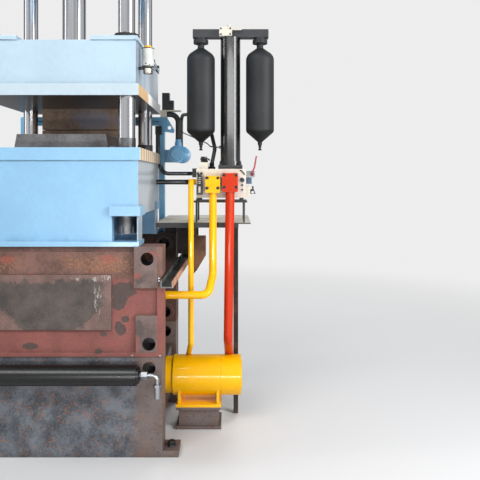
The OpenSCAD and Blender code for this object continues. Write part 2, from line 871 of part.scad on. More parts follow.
// Pale block on the channel with a plate that reaches out over the suction hose
module valve_seat() {
    z = portal_top + valve_seat_h;
    color(cream) {
        block([valve_seat_x0, portal_y, portal_top], [valve_seat_x1, portal_y + portal_t, z]);
        block([valve_seat_x1 - 1, portal_y, z - valve_plate_t],
            [valve_seat_tip, portal_y + portal_t, z]);
    }
}

// Pump housing: domed cover, rim and body, with its motor set to one side, revolved about Y
module suction_pump() {
    r = pump_d / 2;
    color(mid_blue) translate([pump_x, pump_y, pump_z]) {
        rotate([-90, 0, 0]) rotate_extrude() polygon([[0, 0], [r - 26, 0], [r - 16, 8], [r, 12],
            [r, 40], [r - 14, 46], [r - 14, 122], [0, 122]]);
        translate([motor_x - pump_x, 0, 0]) rotate([-90, 0, 0]) rotate_extrude()
            polygon([[0, 110], [40, 110], [motor_d / 2 - 8, 122], [motor_d / 2, 126],
                [motor_d / 2, 282], [motor_d / 2 - 8, 290], [0, 290]]);
        translate([0, pump_neck_y - pump_y, r - 30]) {
            cylinder(d = 62, h = 62);
            cylinder(d = 52, h = 88);
        }
        translate([port_x - pump_x - 20, port_y - pump_y - 20, 0]) cube([40, 40, r]);
    }
}

// Suction hose to the valve seat, pressure hose to the manifold, and a thin tube
// from its crest to the piston accumulator
module hoses() {
    neck_z = pump_z + pump_d / 2 + 58;
    top_z = portal_top + 27;
    port_z = pump_z + pump_d / 2;
    crest_z = portal_top + 34;
    hose_x = manifold_x + 110;
    tap_z = portal_top - 119;
    color(black) {
        pipe_run([[pump_x, pump_neck_y, neck_z], [pump_x, pump_neck_y, top_z],
            [valve_seat_x1, pump_neck_y, top_z]], 47, 70);
        pipe_run([[port_x, port_y, port_z], [port_x, port_y, crest_z],
            [left_shell_x + 38, 160, crest_z - 42], [hose_x + 25, 60, manifold_top + 164],
            [hose_x, 60, manifold_top + 40], [hose_x, 60, manifold_top]], 30, 60);
        pipe_run([[port_x, port_y, tap_z], [left_shell_x + 42, 150, boss_z + 38],
            [piston_x - piston_acc_d / 2 - 75, shell_y, boss_z],
            [piston_x - piston_acc_d / 2 - 12, shell_y, boss_z]], 9, 60);
    }
}

// Black pipes from the platen's side: one to the drain's tee, one to the manifold
module platen_pipes() {
    high = manifold_z + 190;
    low = manifold_z + 116;
    fitting = 35;
    low_y = platen_y - 90;
    low_d = 42;
    high_d = 34;
    high_x = platen_x + high_d / 2 + 1;
    high_y = portal_y - 22;
    color(black) {
        pipe_run([[platen_x, low_y, low], [drain_x - 44, low_y, low], [drain_x, tee_y + 110, low],
            [drain_x, tee_y + tee / 2, low]], low_d, 62);
        pipe_run([[high_x, high_y, bed_z], [high_x, high_y, high], [drain_x - 24, high_y, high],
            [manifold_x - fitting / 2, 70, high], [manifold_x - fitting / 2, -16, high]], high_d, 75);
        block([manifold_x - fitting, -84, high - 35], [manifold_x, -16, high + 34]);
    }
}

// Ball valve on the manifold's side; its stem points to the front
module ball_valve() {
    color(cream) {
        block([manifold_right, -26, lever_z - 26], [lever_x + 24, 26, lever_z + 26]);
        translate([lever_x, 0, lever_z]) bar_y(16, lever_y - 12, -25);
    }
}

// Small shut-off valve below it, with its knob
module shutoff_valve() {
    x = manifold_right + 3;
    color(mid_blue) {
        block([x, -22, lever_z - 76], [x + 44, 22, lever_z - 26.5]);
        translate([x + 22, 0, lever_z - 52]) bar_y(20, -38, -21);
    }
}

// Moving platen: box with raised side strips
module moving_platen() {
    color(light_blue) difference() {
        union() {
            block([-moving_x, -moving_y, moving_z], [moving_x, moving_back, moving_top]);
            for (side = [0, 1]) mirror([side, 0, 0])
                block([strip_x, -moving_y - 12, moving_top],
                    [moving_x + 12, moving_back + 12, moving_top + strip_h]);
        }
        column_bores(moving_z, moving_h + strip_h);
    }
}

module column_bores(z, h) {
    corners(cx, cy) translate([0, 0, z - 1]) cylinder(d = column_d + 2 * guide, h = h + 2);
}

module face_plate() {
    color(light_blue) difference() {
        block([-face_x, -bed_y, face_z], [face_x, moving_back + 5, moving_z]);
        column_bores(face_z, face_t);
    }
}

module bush_covers() {
    color(black) corners(cx, cy) translate([0, 0, moving_top + strip_h])
        ring(cover_d, column_d + 2 * guide, cover_h);
}

module upper_die() {
    color(dark_steel) block([-die_w / 2, die_y0, upper_die_z], [die_w / 2, platen_y, face_z]);
}

// Grease reservoir on a bracket at the platen's right side
module lubricator() {
    x = moving_x + 65;
    y = -400;
    z = moving_z + 138;
    color(cream) translate([x, y, z]) cylinder(d = 86, h = 136);
    color(golden) translate([x, y, z + 136]) cylinder(d = 52, h = 15);
    color(black) {
        block([moving_x, y - 26, z - 16], [x + 30, y + 26, z]);
        translate([x, y, z - 47]) cylinder(d = 66, h = 31);
    }
}

module clamp_rod() {
    color(chrome) {
        translate([0, 0, moving_top]) cylinder(d = rod_d + 110, h = 60);
        translate([0, 0, moving_top + 59]) cylinder(d = rod_d, h = daylight + crosshead_h + 70);
    }
}

// Lever with a hub and a cranked arm
module valve_lever() {
    color(red) translate([lever_x, 0, lever_z]) {
        difference() {
            bar_y(34, lever_y - 10, lever_y);
            bar_y(16.6, lever_y - 11, lever_y + 1);
        }
        translate([0, lever_y - 2, 0]) rotate([90, 0, 0]) linear_extrude(6)
            polygon([[-7, 14], [7, 14], [24, 48], [39, 140], [27, 140], [12, 54]]);
    }
}

front_frame();
rear_frame();
lower_sections();
frame_ties();
front_plates();
fixed_platen();
bed_plate();
column_nuts();
column_collars();
columns();
lower_die();
die_holder();
crosshead();
clamp_cylinder();
platform();
rack_frame();
manifold_stand();
manifold_block();
manifold_valves();
bladder_accumulators();
piston_accumulator();
gas_beam();
top_valve();
yellow_pipe();
red_pipe();
drain_pipe();
shot_cylinder();
shot_head();
shot_saddle();
shot_pedestal();
trough();
front_cylinder();
cylinder_fitting();
rear_portal();
portal_cylinder();
portal_valve();
valve_seat();
suction_pump();
hoses();
platen_pipes();
ball_valve();
shutoff_valve();
moving_platen();
face_plate();
bush_covers();
upper_die();
lubricator();
clamp_rod();
valve_lever();
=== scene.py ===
"""Look of a four-column die casting press with its shot cylinder, accumulators and pipework.

Lengths are metres in the CAD frame: +Z up, the operator's side towards -Y.
Each new piece is a grid of points worked out with numpy and rides on a CAD body.
Colours are written as they look on a screen and turned to linear values where a node takes them.
"""
import json
import math
from functools import partialmethod

import bpy
import bmesh
import numpy as np
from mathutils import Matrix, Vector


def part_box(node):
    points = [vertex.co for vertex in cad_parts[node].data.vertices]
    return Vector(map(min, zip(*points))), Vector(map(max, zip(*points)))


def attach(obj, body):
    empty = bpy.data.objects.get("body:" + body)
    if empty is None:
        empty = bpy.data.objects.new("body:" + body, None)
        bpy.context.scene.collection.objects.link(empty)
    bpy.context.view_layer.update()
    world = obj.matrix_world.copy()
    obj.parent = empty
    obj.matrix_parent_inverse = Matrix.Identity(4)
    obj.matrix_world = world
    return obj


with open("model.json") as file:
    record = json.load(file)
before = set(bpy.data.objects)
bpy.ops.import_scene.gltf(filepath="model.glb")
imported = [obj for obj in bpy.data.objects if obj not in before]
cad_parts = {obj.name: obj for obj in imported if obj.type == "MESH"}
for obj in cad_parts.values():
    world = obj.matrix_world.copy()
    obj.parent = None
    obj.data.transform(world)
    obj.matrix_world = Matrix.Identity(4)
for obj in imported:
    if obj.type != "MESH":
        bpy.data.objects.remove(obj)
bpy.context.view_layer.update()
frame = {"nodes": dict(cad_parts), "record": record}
nodes = frame["nodes"]


# ---------------------------------------------------------------- node trees

def linear(colour):
    """Linear colour of a screen colour: c/12.92 near black, else ((c + 0.055)/1.055)^2.4."""
    return (*(c / 12.92 if c <= 0.04045 else ((c + 0.055) / 1.055) ** 2.4 for c in colour), 1.0)


def darker(colour, share):
    """Linear colour with a share of a screen colour's light."""
    return (*(c * share for c in linear(colour)[:3]), 1.0)


class Net:
    """Short calls that add nodes to a tree; each returns the output that is used."""

    def __init__(self, tree):
        self.tree = tree

    def feed(self, socket, value):
        """Links or sets a socket; a colour of three parts is a screen colour."""
        if isinstance(value, bpy.types.NodeSocket):
            self.tree.links.new(value, socket)
        else:
            socket.default_value = linear(value) if socket.type == "RGBA" and len(value) == 3 else value

    def add(self, kind, inputs=None, **settings):
        node = self.tree.nodes.new(kind)
        for name, value in settings.items():
            setattr(node, name, value)
        for key, value in (inputs or {}).items():
            self.feed(node.inputs[key], value)
        return node

    def math(self, operation, a, b=0.0, clamp=False):
        return self.add("ShaderNodeMath", {0: a, 1: b}, operation=operation, use_clamp=clamp).outputs[0]

    def vector(self, operation, a, b=(0.0, 0.0, 0.0)):
        """Vector sum; its outcome is a number for a length or a dot product."""
        node = self.add("ShaderNodeVectorMath", {0: a, 1: b}, operation=operation)
        return node.outputs["Value" if operation in ("LENGTH", "DOT_PRODUCT") else "Vector"]

    def span(self, value, low, high, to_low=0.0, to_high=1.0):
        """Smooth step of a value from low to high."""
        return self.add("ShaderNodeMapRange", {"Value": value, "From Min": low, "From Max": high,
                        "To Min": to_low, "To Max": to_high}, interpolation_type="SMOOTHSTEP").outputs[0]

    def mix(self, mask, a, b, share=None):
        """Colour b over a where the mask, or a share of it, is one."""
        node = self.add("ShaderNodeMix", data_type="RGBA")
        self.feed(node.inputs[0], mask if share is None else self.times(mask, share))
        self.feed(node.inputs[6], a)
        self.feed(node.inputs[7], b)
        return node.outputs[2]

    def place(self):
        return self.add("ShaderNodeTexCoord").outputs["Object"]

    def facing(self):
        """Parts in X, Y and Z of the direction a face looks in."""
        return self.split(self.add("ShaderNodeNewGeometry").outputs["True Normal"])

    def scaled(self, vector, scale):
        return self.vector("MULTIPLY", vector, scale)

    def noise(self, vector, scale, detail=3.0, roughness=0.55, warp=0.0):
        return self.add("ShaderNodeTexNoise", {"Vector": vector, "Scale": scale, "Detail": detail,
                        "Roughness": roughness, "Distortion": warp}).outputs[0]

    def split(self, vector):
        return self.add("ShaderNodeSeparateXYZ", {0: vector}).outputs

    def use(self, tree, **inputs):
        """Places a node group; an input Edge_size is written edge_size in the call."""
        node = self.add("ShaderNodeGroup", node_tree=tree)
        for name, value in inputs.items():
            self.feed(node.inputs[name.replace("_", " ").capitalize()], value)
        return node.outputs


for short, operation in (("times", "MULTIPLY"), ("plus", "ADD"), ("minus", "SUBTRACT"), ("size", "ABSOLUTE"),
                         ("over", "GREATER_THAN"), ("under", "LESS_THAN")):
    setattr(Net, short, partialmethod(Net.math, operation))


def group(name, inputs, outputs, build):
    """Node group whose build function takes the tree and its inputs and gives its outputs."""
    tree = bpy.data.node_groups.new(name, "ShaderNodeTree")
    for label, value in inputs.items():
        kind = "NodeSocketVector" if isinstance(value, tuple) else "NodeSocketFloat"
        tree.interface.new_socket(label, in_out="INPUT", socket_type=kind).default_value = value
    for label, kind in outputs.items():
        tree.interface.new_socket(label, in_out="OUTPUT", socket_type=kind)
    net = Net(tree)
    inside = net.add("NodeGroupInput").outputs
    end = net.add("NodeGroupOutput")
    for label, value in build(net, inside).items():
        net.feed(end.inputs[label], value)
    return tree


def build_edges(net, inside):
    """One minus the cosine between the face's normal and the rounded one, times noise."""
    rounded = net.add("ShaderNodeBevel", {"Radius": inside["Width"]}, samples=6).outputs[0]
    face = net.add("ShaderNodeNewGeometry").outputs["Normal"]
    bent = net.times(net.minus(1.0, net.vector("DOT_PRODUCT", rounded, face)), 5.0, clamp=True)
    spots = net.noise(net.place(), inside["Scale"], 4.0, 0.6)
    broken = net.span(spots, *(net.minus(limit, inside["Amount"]) for limit in (0.62, 0.80)))
    return {"Mask": net.times(bent, broken), "Line": bent, "Normal": rounded}


def build_mottle(net, inside):
    """Three sizes of noise added up around one half, for uneven tone."""
    where = net.place()
    broad = net.noise(where, inside["Scale"], 2.0, 0.5)
    fine = net.noise(where, net.times(inside["Scale"], 9.0), 4.0, 0.65)
    both = net.plus(net.times(broad, 0.6), net.times(fine, 0.4))
    return {"Tone": net.span(both, 0.34, 0.66), "Fine": fine}


def build_rust(net, inside):
    """Noise above a limit set by the cover; the colour runs from dark brown to ochre."""
    where = net.place()
    broad = net.noise(where, inside["Scale"], 6.0, 0.62, 0.4)
    speck = net.noise(where, net.times(inside["Scale"], 11.0), 5.0, 0.7)
    heap = net.plus(net.times(broad, 0.65), net.times(speck, 0.35))
    limit = net.minus(0.78, net.times(inside["Cover"], 0.5))
    mask = net.span(heap, limit, net.plus(limit, 0.09))
    brown = net.mix(net.span(speck, 0.40, 0.62), (0.30, 0.17, 0.12), (0.60, 0.36, 0.19))
    return {"Mask": mask, "Colour": brown, "Height": speck}


def build_streaks(net, inside):
    """Noise stretched along Z, as water and grinding leave it."""
    long = net.scaled(net.place(), (1.0, 1.0, 0.04))
    return {"Value": net.noise(long, inside["Scale"], 4.0, 0.6)}


def build_stain(net, inside):
    """One inside an ellipse in X and Z, zero outside; noise bends the place before it is measured:
    reach = |((place - centre)/size) + wobble (2 noise - 1)|."""
    where = net.place()
    bend = net.add("ShaderNodeTexNoise", {"Vector": where, "Scale": inside["Scale"], "Detail": 6.0,
                   "Roughness": 0.62}).outputs["Color"]
    swing = net.vector("SUBTRACT", bend, (0.5, 0.5, 0.5))
    swing = net.add("ShaderNodeVectorMath", {0: swing, "Scale": inside["Wobble"]}, operation="SCALE").outputs[0]
    share = net.vector("DIVIDE", net.vector("SUBTRACT", where, inside["Centre"]), inside["Size"])
    reach = net.vector("LENGTH", net.scaled(net.vector("ADD", share, swing), (1.0, 0.0, 1.0)))
    soft = inside["Soft"]
    return {"Mask": net.span(reach, net.plus(1.0, soft), net.minus(1.0, soft))}


BORE_PLACES = ((0.657, 1.354), (0.669, 0.773), (0.669, 0.606))
BORE_R = 0.044


def build_bores(net, inside):
    """One on the walls of the three bores a side, whose centres are (|x|, z), and on their rims, where painted shade
    goes.
    """
    x, _, z = net.split(net.place())
    across, total = net.size(x), 0.0
    for hole_x, hole_z in BORE_PLACES:
        away = net.add("ShaderNodeCombineXYZ", {0: net.minus(across, hole_x), 2: net.minus(z, hole_z)}).outputs[0]
        total = net.plus(net.span(net.vector("LENGTH", away), BORE_R + 0.0012, BORE_R + 0.0002), total)
    return {"Mask": total}


def build_painted_shade(net, inside):
    """Painted shade where other faces are near, found by ambient occlusion and broken by noise."""
    near = net.add("ShaderNodeAmbientOcclusion", {"Distance": inside["Reach"]}, samples=6).outputs["AO"]
    shut = net.minus(1.0, near, clamp=True)
    broken = net.span(net.noise(net.place(), 14.0, 4.0, 0.6), 0.25, 0.7)
    return {"Mask": net.times(net.times(shut, broken), inside["Amount"], clamp=True)}


VALUE, COLOUR, VECTOR = "NodeSocketFloat", "NodeSocketColor", "NodeSocketVector"
# Edge mask for wear; its Line output also carries painted highlights along edges
EDGES = group("edge wear and highlight line", {"Width": 0.004, "Scale": 20.0, "Amount": 0.2},
              {"Mask": VALUE, "Line": VALUE, "Normal": VECTOR}, build_edges)
MOTTLE = group("mottle", {"Scale": 3.0}, {"Tone": VALUE, "Fine": VALUE}, build_mottle)
RUST = group("rust", {"Scale": 6.0, "Cover": 0.3},
             {"Mask": VALUE, "Colour": COLOUR, "Height": VALUE}, build_rust)
STREAKS = group("streaks", {"Scale": 30.0}, {"Value": VALUE}, build_streaks)
STAIN = group("stain", {"Centre": (0.0, 0.0, 0.0), "Size": (0.1, 0.1, 0.1), "Scale": 14.0, "Wobble": 2.4,
              "Soft": 0.08}, {"Mask": VALUE}, build_stain)
BORES = group("bores", {}, {"Mask": VALUE}, build_bores)
# Painted shade: darker where ambient occlusion finds other faces near
PAINTED_SHADE = group("corner_shade", {"Reach": 0.05, "Amount": 0.6}, {"Mask": VALUE}, build_painted_shade)


def material(name, metal=0.0, coat=0.0, coat_rough=0.1, specular=0.5):
    """Tree of a new material, which knows the material and the inputs of its Principled shader."""
    made = bpy.data.materials.new(name)
    made.use_nodes = True
    net = Net(made.node_tree)
    net.made, net.sockets = made, made.node_tree.nodes["Principled BSDF"].inputs
    for label, value in (("Metallic", metal), ("Coat Weight", coat), ("Coat Roughness", coat_rough),
                         ("Specular IOR Level", specular)):
        net.sockets[label].default_value = value
    return net


def spread(net, fine, low, high):
    """Fine noise spread between two values."""
    return net.span(fine, 0.2, 0.8, low, high)


def begin(name, tone_scale, wear, **shader):
    """A finish's tree, the place, broad and fine uneven tone, and the edges by their (width, scale, amount)."""
    net = material(name, **shader)
    width, scale, amount = wear
    edges = net.use(EDGES, width=width, scale=scale, amount=amount)
    return net, net.place(), *net.use(MOTTLE, scale=tone_scale), edges


def finished(net, body, rough, edges=None, height=None, strength=0.0, depth=0.0):
    """Feeds the shader and gives the material; a height of some depth roughens the rounded edges' normal."""
    net.feed(net.sockets["Base Color"], body)
    net.feed(net.sockets["Roughness"], rough)
    if edges is not None:
        normal = edges["Normal"]
        if height is not None:
            normal = net.add("ShaderNodeBump", {"Height": height, "Strength": strength, "Distance": depth,
                                                "Normal": normal}).outputs[0]
        net.feed(net.sockets["Normal"], normal)
    return net.made


def shade_in_corners(net, body, reach, amount, shade_colour):
    """Painted shade in the corners over a colour."""
    return net.mix(net.use(PAINTED_SHADE, reach=reach, amount=amount)["Mask"], body, shade_colour)


def worn(net, body, edges, share, bright, *corner_shade):
    """Bright rubbed edges, painted shade in the corners and painted shade on the bore walls over a colour."""
    body = shade_in_corners(net, net.mix(edges["Mask"], body, bright, share), *corner_shade)
    return net.mix(net.use(BORES)["Mask"], body, BORE_SHADE)


def enamel(name, tone, pale, shade_colour, chip, rough=0.32, coat=0.4, wear=0.16, corner_shade=0.5, orange_peel=0.05,
           side=None, coat_rough=0.12, specular=0.5):
    """Sprayed paint: tone varies a little, edges show a pale line as painted highlight, corners get painted shade,
    chips are few;
    side = (half width |x|, two tones, height) gives those planes a painted reflection of upright streaks, paler
    towards the low back."""
    net, where, broad, fine, edges = begin(name, 2.5, (0.003, 26.0, wear), coat=coat,
                                           coat_rough=coat_rough, specular=specular)
    body = net.mix(broad, darker(tone, 0.90), tone)
    # Painted reflection: past the half width the sides get grey to white tones and upright streaks, paler to the low
    # back, as glossy paint mirrors a bright room
    if side is not None:
        half, low, reflection_high, level = side
        across, deep, high = net.split(where)
        outer = net.math("COMPARE", net.size(across), half)
        outer.node.inputs[2].default_value = 0.0006
        back = net.span(net.minus(deep, net.times(net.minus(high, level), 1.2)), -0.25, 0.75)
        reflection_streaks = net.plus(net.times(net.use(STREAKS, scale=14.0)["Value"], 0.6), net.times(back, 0.7), clamp=True)
        body = net.mix(outer, body, net.mix(reflection_streaks, low, reflection_high))
    # The pale line along the edges is a painted highlight; the darker corners are painted shade
    body = shade_in_corners(net, net.mix(edges["Line"], body, pale, 0.75), 0.06, corner_shade, shade_colour)
    body = net.mix(edges["Mask"], body, chip, 0.9)
    peel = net.noise(where, 220.0, 2.0, 0.5)
    return finished(net, body, net.plus(rough, net.times(fine, 0.12)), edges, peel, orange_peel, 0.0006)


# ------------------------------------------------------------------ finishes

PLATEN_BLUE = (0.565, 0.755, 0.885)
# Platen blue made paler as painted light, for the daylight on the moving platen and face plate
DAYLIT_PLATEN_BLUE = (0.70, 0.795, 0.855)
# Pale edge colour of the blue paint: a painted highlight
EDGE_HIGHLIGHT_BLUE = (0.84, 0.95, 1.0)
PORTAL_BLUE = (0.45, 0.72, 0.88)
YELLOW = (1.0, 0.745, 0.0)
RED = (0.80, 0.20, 0.03)
IVORY = (0.87, 0.84, 0.78)
PRIMER = (0.57, 0.335, 0.305)
SCALE_GREY = (0.30, 0.26, 0.245)
OCHRE = (0.74, 0.49, 0.25)
CHALK = (0.68, 0.65, 0.62)
# Colour of painted shade on the bore walls
BORE_SHADE = (0.13, 0.11, 0.10)
CHIP_GREY = (0.20, 0.22, 0.24)

# Stains on the operator's side: centre and half size as x, z, wide, tall
DARK_STAINS = [(0.485, 1.130, 0.085, 0.068), (0.462, 1.062, 0.052, 0.052),
               (0.469, 0.878, 0.044, 0.046), (0.507, 0.943, 0.030, 0.022),
               (0.353, 0.836, 0.023, 0.019), (0.322, 0.722, 0.028, 0.017),
               (-0.455, 1.090, 0.070, 0.080), (-0.500, 0.800, 0.050, 0.040),
               (-0.150, 0.760, 0.060, 0.022)]
OCHRE_STAINS = [(0.465, 1.300, 0.120, 0.060), (0.245, 1.315, 0.160, 0.050),
                (-0.380, 1.300, 0.150, 0.055)]
RED_SPOTS = [(0.395, 1.355, 0.050, 0.028), (0.585, 1.215, 0.028, 0.035),
             (0.420, 0.775, 0.040, 0.012), (-0.300, 1.350, 0.060, 0.025)]


def stain(net, x, z, wide, tall, **shape):
    return net.use(STAIN, centre=(x, 0, z), size=(wide, 1, tall), **shape)["Mask"]


def stained(net, body, stains, colour, strength, **shape):
    """Lays one colour over the body wherever one of the stains reaches."""
    for places in stains:
        body = net.mix(stain(net, *places, **shape), body, colour, strength)
    return body


def grain(net, where, body, amount=0.5):
    """Fine dark and pale specks over a colour, as sand and mill scale show close by."""
    dark = net.span(net.noise(where, 150.0, 6.0, 0.75), 0.47, 0.36)
    pale = net.span(net.noise(where, 210.0, 6.0, 0.75), 0.56, 0.66)
    body = net.mix(dark, body, (0.14, 0.11, 0.10), amount)
    return net.mix(net.times(pale, amount * 0.55), body, (0.78, 0.70, 0.64))


def primer_frame(name, base, scale_cover, dark=1.0):
    """Red primer over mill scale: brown above, cleaner primer below, rust specks, stains and a pale worn rim."""
    def dim(*tone):
        return tuple(part * dark for part in tone)

    net, where, broad, fine, edges = begin(name, 5.0, (0.005, 30.0, 0.24), specular=0.3)
    x, _, height = net.split(where)
    rust = net.use(RUST, scale=9.0, cover=scale_cover)
    brown = net.mix(broad, dim(0.34, 0.25, 0.22), dim(0.51, 0.37, 0.33))
    red = net.mix(broad, darker(base, 0.74), base)
    blotch = net.noise(where, 6.0, 6.0, 0.65)
    line = net.plus(height, net.times(net.minus(blotch, 0.5), 0.22))
    above = net.span(line, 1.20, 1.25)
    body = net.mix(above, red, brown)
    strip = net.span(net.size(x), 0.722, 0.727)
    upper = net.span(height, 1.148, 1.156)
    body = net.mix(strip, body, net.mix(broad, dim(0.38, 0.28, 0.25), dim(0.53, 0.39, 0.35)), upper)
    body = net.mix(rust["Mask"], body, rust["Colour"], 0.7)
    specks = net.span(net.noise(where, 62.0, 9.0, 0.80), 0.50, 0.60)
    for places in OCHRE_STAINS:
        mask = stain(net, *places, scale=12.0, wobble=3.0, soft=0.6)
        body = net.mix(net.times(mask, specks), body, OCHRE, 0.8)
    body = stained(net, body, RED_SPOTS, (0.66, 0.31, 0.25), 0.4, scale=18.0, wobble=2.6, soft=0.35)
    body = stained(net, body, DARK_STAINS, SCALE_GREY, 0.92, scale=13.0, wobble=1.5, soft=0.05)
    body = grain(net, where, body, 0.45)
    body = worn(net, body, edges, 0.7, (0.66, 0.48, 0.43), 0.05, 0.9, (0.10, 0.07, 0.06))
    relief = net.plus(net.times(rust["Mask"], 0.5), net.noise(where, 120.0, 6.0, 0.7))
    return finished(net, body, spread(net, fine, 0.50, 0.85), edges, relief, 0.45, 0.0016)


def plate_steel(name):
    """Lugs of grey scale with red borders; the middle plate is darker, with chalk marks and runs."""
    net, where, broad, fine, edges = begin(name, 9.0, (0.006, 22.0, 0.30), specular=0.35)
    x, _, z = net.split(where)
    lug = net.mix(broad, (0.35, 0.285, 0.27), (0.48, 0.395, 0.375))
    across = net.size(x)
    flaw = net.times(net.minus(net.noise(where, 16.0, 6.0, 0.62), 0.5), 0.16)
    inner = net.minus(1.0, net.span(net.plus(across, flaw), 0.350, 0.385))
    below = net.minus(1.0, net.span(net.plus(z, flaw), 1.185, 1.215))
    corner = net.minus(z, net.times(net.minus(across, 0.20), 0.9))
    above = net.span(net.plus(corner, flaw), 0.865, 0.90)
    dark = net.times(net.times(inner, below), above)
    scale = net.mix(broad, (0.24, 0.21, 0.20), (0.36, 0.32, 0.295))
    border = net.mix(broad, (0.39, 0.30, 0.275), (0.50, 0.385, 0.355))
    plate = net.mix(dark, border, scale)
    body = net.mix(net.under(across, 0.45), lug, plate)
    ticks = net.noise(net.scaled(where, (55.0, 1.0, 26.0)), 1.0, 3.0, 0.7)
    row = stain(net, 0.32, 1.222, 0.16, 0.020, wobble=0.6, soft=0.3)
    body = net.mix(net.times(row, net.span(ticks, 0.55, 0.62)), body, CHALK)
    runs = net.noise(net.scaled(where, (90.0, 1.0, 22.0)), 1.0, 4.0, 0.75)
    fall = stain(net, 0.316, 1.070, 0.024, 0.125, wobble=1.6, soft=0.45)
    body = net.mix(net.times(fall, net.span(runs, 0.50, 0.62)), body, CHALK)
    body = stained(net, body, [(0.600, 1.215, 0.030, 0.028), (0.607, 0.880, 0.030, 0.050),
                               (-0.620, 1.230, 0.040, 0.030)], (0.30, 0.26, 0.25), 0.8,
                   scale=20.0, wobble=2.2, soft=0.25)
    body = stained(net, body, [(0.585, 1.245, 0.030, 0.022), (0.700, 1.390, 0.060, 0.018),
                               (0.590, 0.770, 0.015, 0.060)], (0.58, 0.29, 0.25), 0.6,
                   scale=20.0, wobble=2.6, soft=0.4)
    body = grain(net, where, body, 0.40)
    body = worn(net, body, edges, 0.75, (0.62, 0.42, 0.35), 0.03, 0.8, (0.12, 0.08, 0.07))
    return finished(net, body, spread(net, fine, 0.45, 0.75), edges,
                    net.noise(where, 120.0, 4.0, 0.6), 0.25, 0.001)


def mill_steel(name, low, high, outer, cover):
    """Hot-rolled steel: mottled blue-grey scale with orange and dark specks, of another tone far out in X."""
    net, where, broad, fine, edges = begin(name, 7.0, (0.005, 24.0, 0.26), metal=0.25)
    rust = net.use(RUST, scale=10.0, cover=cover)
    body = net.mix(broad, low, high)
    body = net.mix(net.span(net.size(net.split(where)[0]), 0.53, 0.62), body, outer, 0.75)
    body = net.mix(rust["Mask"], body, rust["Colour"], 0.85)
    pits = net.span(net.noise(where, 38.0, 8.0, 0.75), 0.56, 0.66)
    body = net.mix(pits, body, (0.13, 0.13, 0.14), 0.8)
    bloom = net.times(net.span(net.noise(where, 70.0, 8.0, 0.78), 0.54, 0.60),
                     net.span(net.noise(where, 11.0, 3.0, 0.6), 0.45, 0.57))
    body = net.mix(bloom, body, (0.62, 0.38, 0.20), 0.8)
    body = grain(net, where, body, 0.40)
    body = worn(net, body, edges, 0.6, (0.55, 0.50, 0.47), 0.05, 0.7, (0.07, 0.06, 0.06))
    return finished(net, body, spread(net, fine, 0.42, 0.70), edges, net.noise(where, 100.0, 4.0, 0.6), 0.3, 0.0012)


def rack_steel(name):
    """Rack steel: posts nearly black, the sheets between them rusty brown with a pale edge."""
    net, where, broad, fine, edges = begin(name, 8.0, (0.004, 30.0, 0.34), specular=0.3)
    x, y, _ = net.split(where)
    rust = net.use(RUST, scale=10.0, cover=0.5)
    black = net.mix(broad, (0.10, 0.08, 0.075), (0.22, 0.17, 0.15))
    brown = net.mix(broad, (0.27, 0.19, 0.15), (0.52, 0.36, 0.26))
    sheet = net.times(net.under(y, 0.08), net.under(x, 1.1))
    body = net.mix(sheet, black, brown)
    body = net.mix(net.times(rust["Mask"], net.plus(0.25, net.times(sheet, 0.5))),
                   body, rust["Colour"])
    body = grain(net, where, body, 0.35)
    body = net.mix(edges["Mask"], body, (0.55, 0.42, 0.33), 0.6)
    return finished(net, body, spread(net, fine, 0.55, 0.85), edges,
                    net.noise(where, 100.0, 5.0, 0.65), 0.35, 0.0012)


def bed_finish(name, paint, side_low, side_high, pitch, highlight_from=None):
    """Painted front and back; machined sides show milling bands along Y; given a depth, the sides turn near-white past
    it as a painted highlight, and faces looking down get painted shade.
    """
    net, where, broad, fine, edges = begin(name, 2.5, (0.003, 26.0, 0.2), coat=0.25, coat_rough=0.15)
    nx, _, nz = net.facing()
    side = net.over(net.size(nx), 0.6)
    top = net.over(nz, 0.6)
    depth = net.split(where)[1]
    bands = net.math("FRACT", net.math("DIVIDE", depth, pitch))
    groove = net.span(net.size(net.minus(bands, 0.5)), 0.37, 0.43)
    tan = net.mix(net.use(STREAKS, scale=34.0)["Value"], side_low, side_high)
    if highlight_from is None:
        tan = net.mix(groove, tan, (0.36, 0.26, 0.17), 0.9)
    else:
        # Past the depth the side turns near-white: a painted highlight of glare
        uneven = net.plus(depth, net.times(net.noise(where, 9.0), 0.25))
        front = net.minus(1.0, net.span(uneven, highlight_from, highlight_from + 0.12))
        tan = net.mix(front, (1.0, 1.0, 0.99), tan)
    body = net.mix(broad, darker(paint, 0.92), paint)
    # The pale line along the edges is a painted highlight
    body = net.mix(edges["Line"], body, EDGE_HIGHLIGHT_BLUE, 0.75)
    body = net.mix(side, body, tan)
    grey = net.mix(fine, (0.46, 0.47, 0.49), (0.62, 0.63, 0.64))
    body = net.mix(top, body, grey)
    # Faces looking down are near black: painted shade under the plates
    below = net.under(nz, -0.6)
    body = net.mix(below, body, net.mix(broad, (0.08, 0.075, 0.07), (0.16, 0.15, 0.14)))
    net.feed(net.sockets["Metallic"], net.times(top, 0.25))
    return finished(net, body, net.plus(0.34, net.times(fine, 0.14)), edges, groove, 0.3, 0.002)


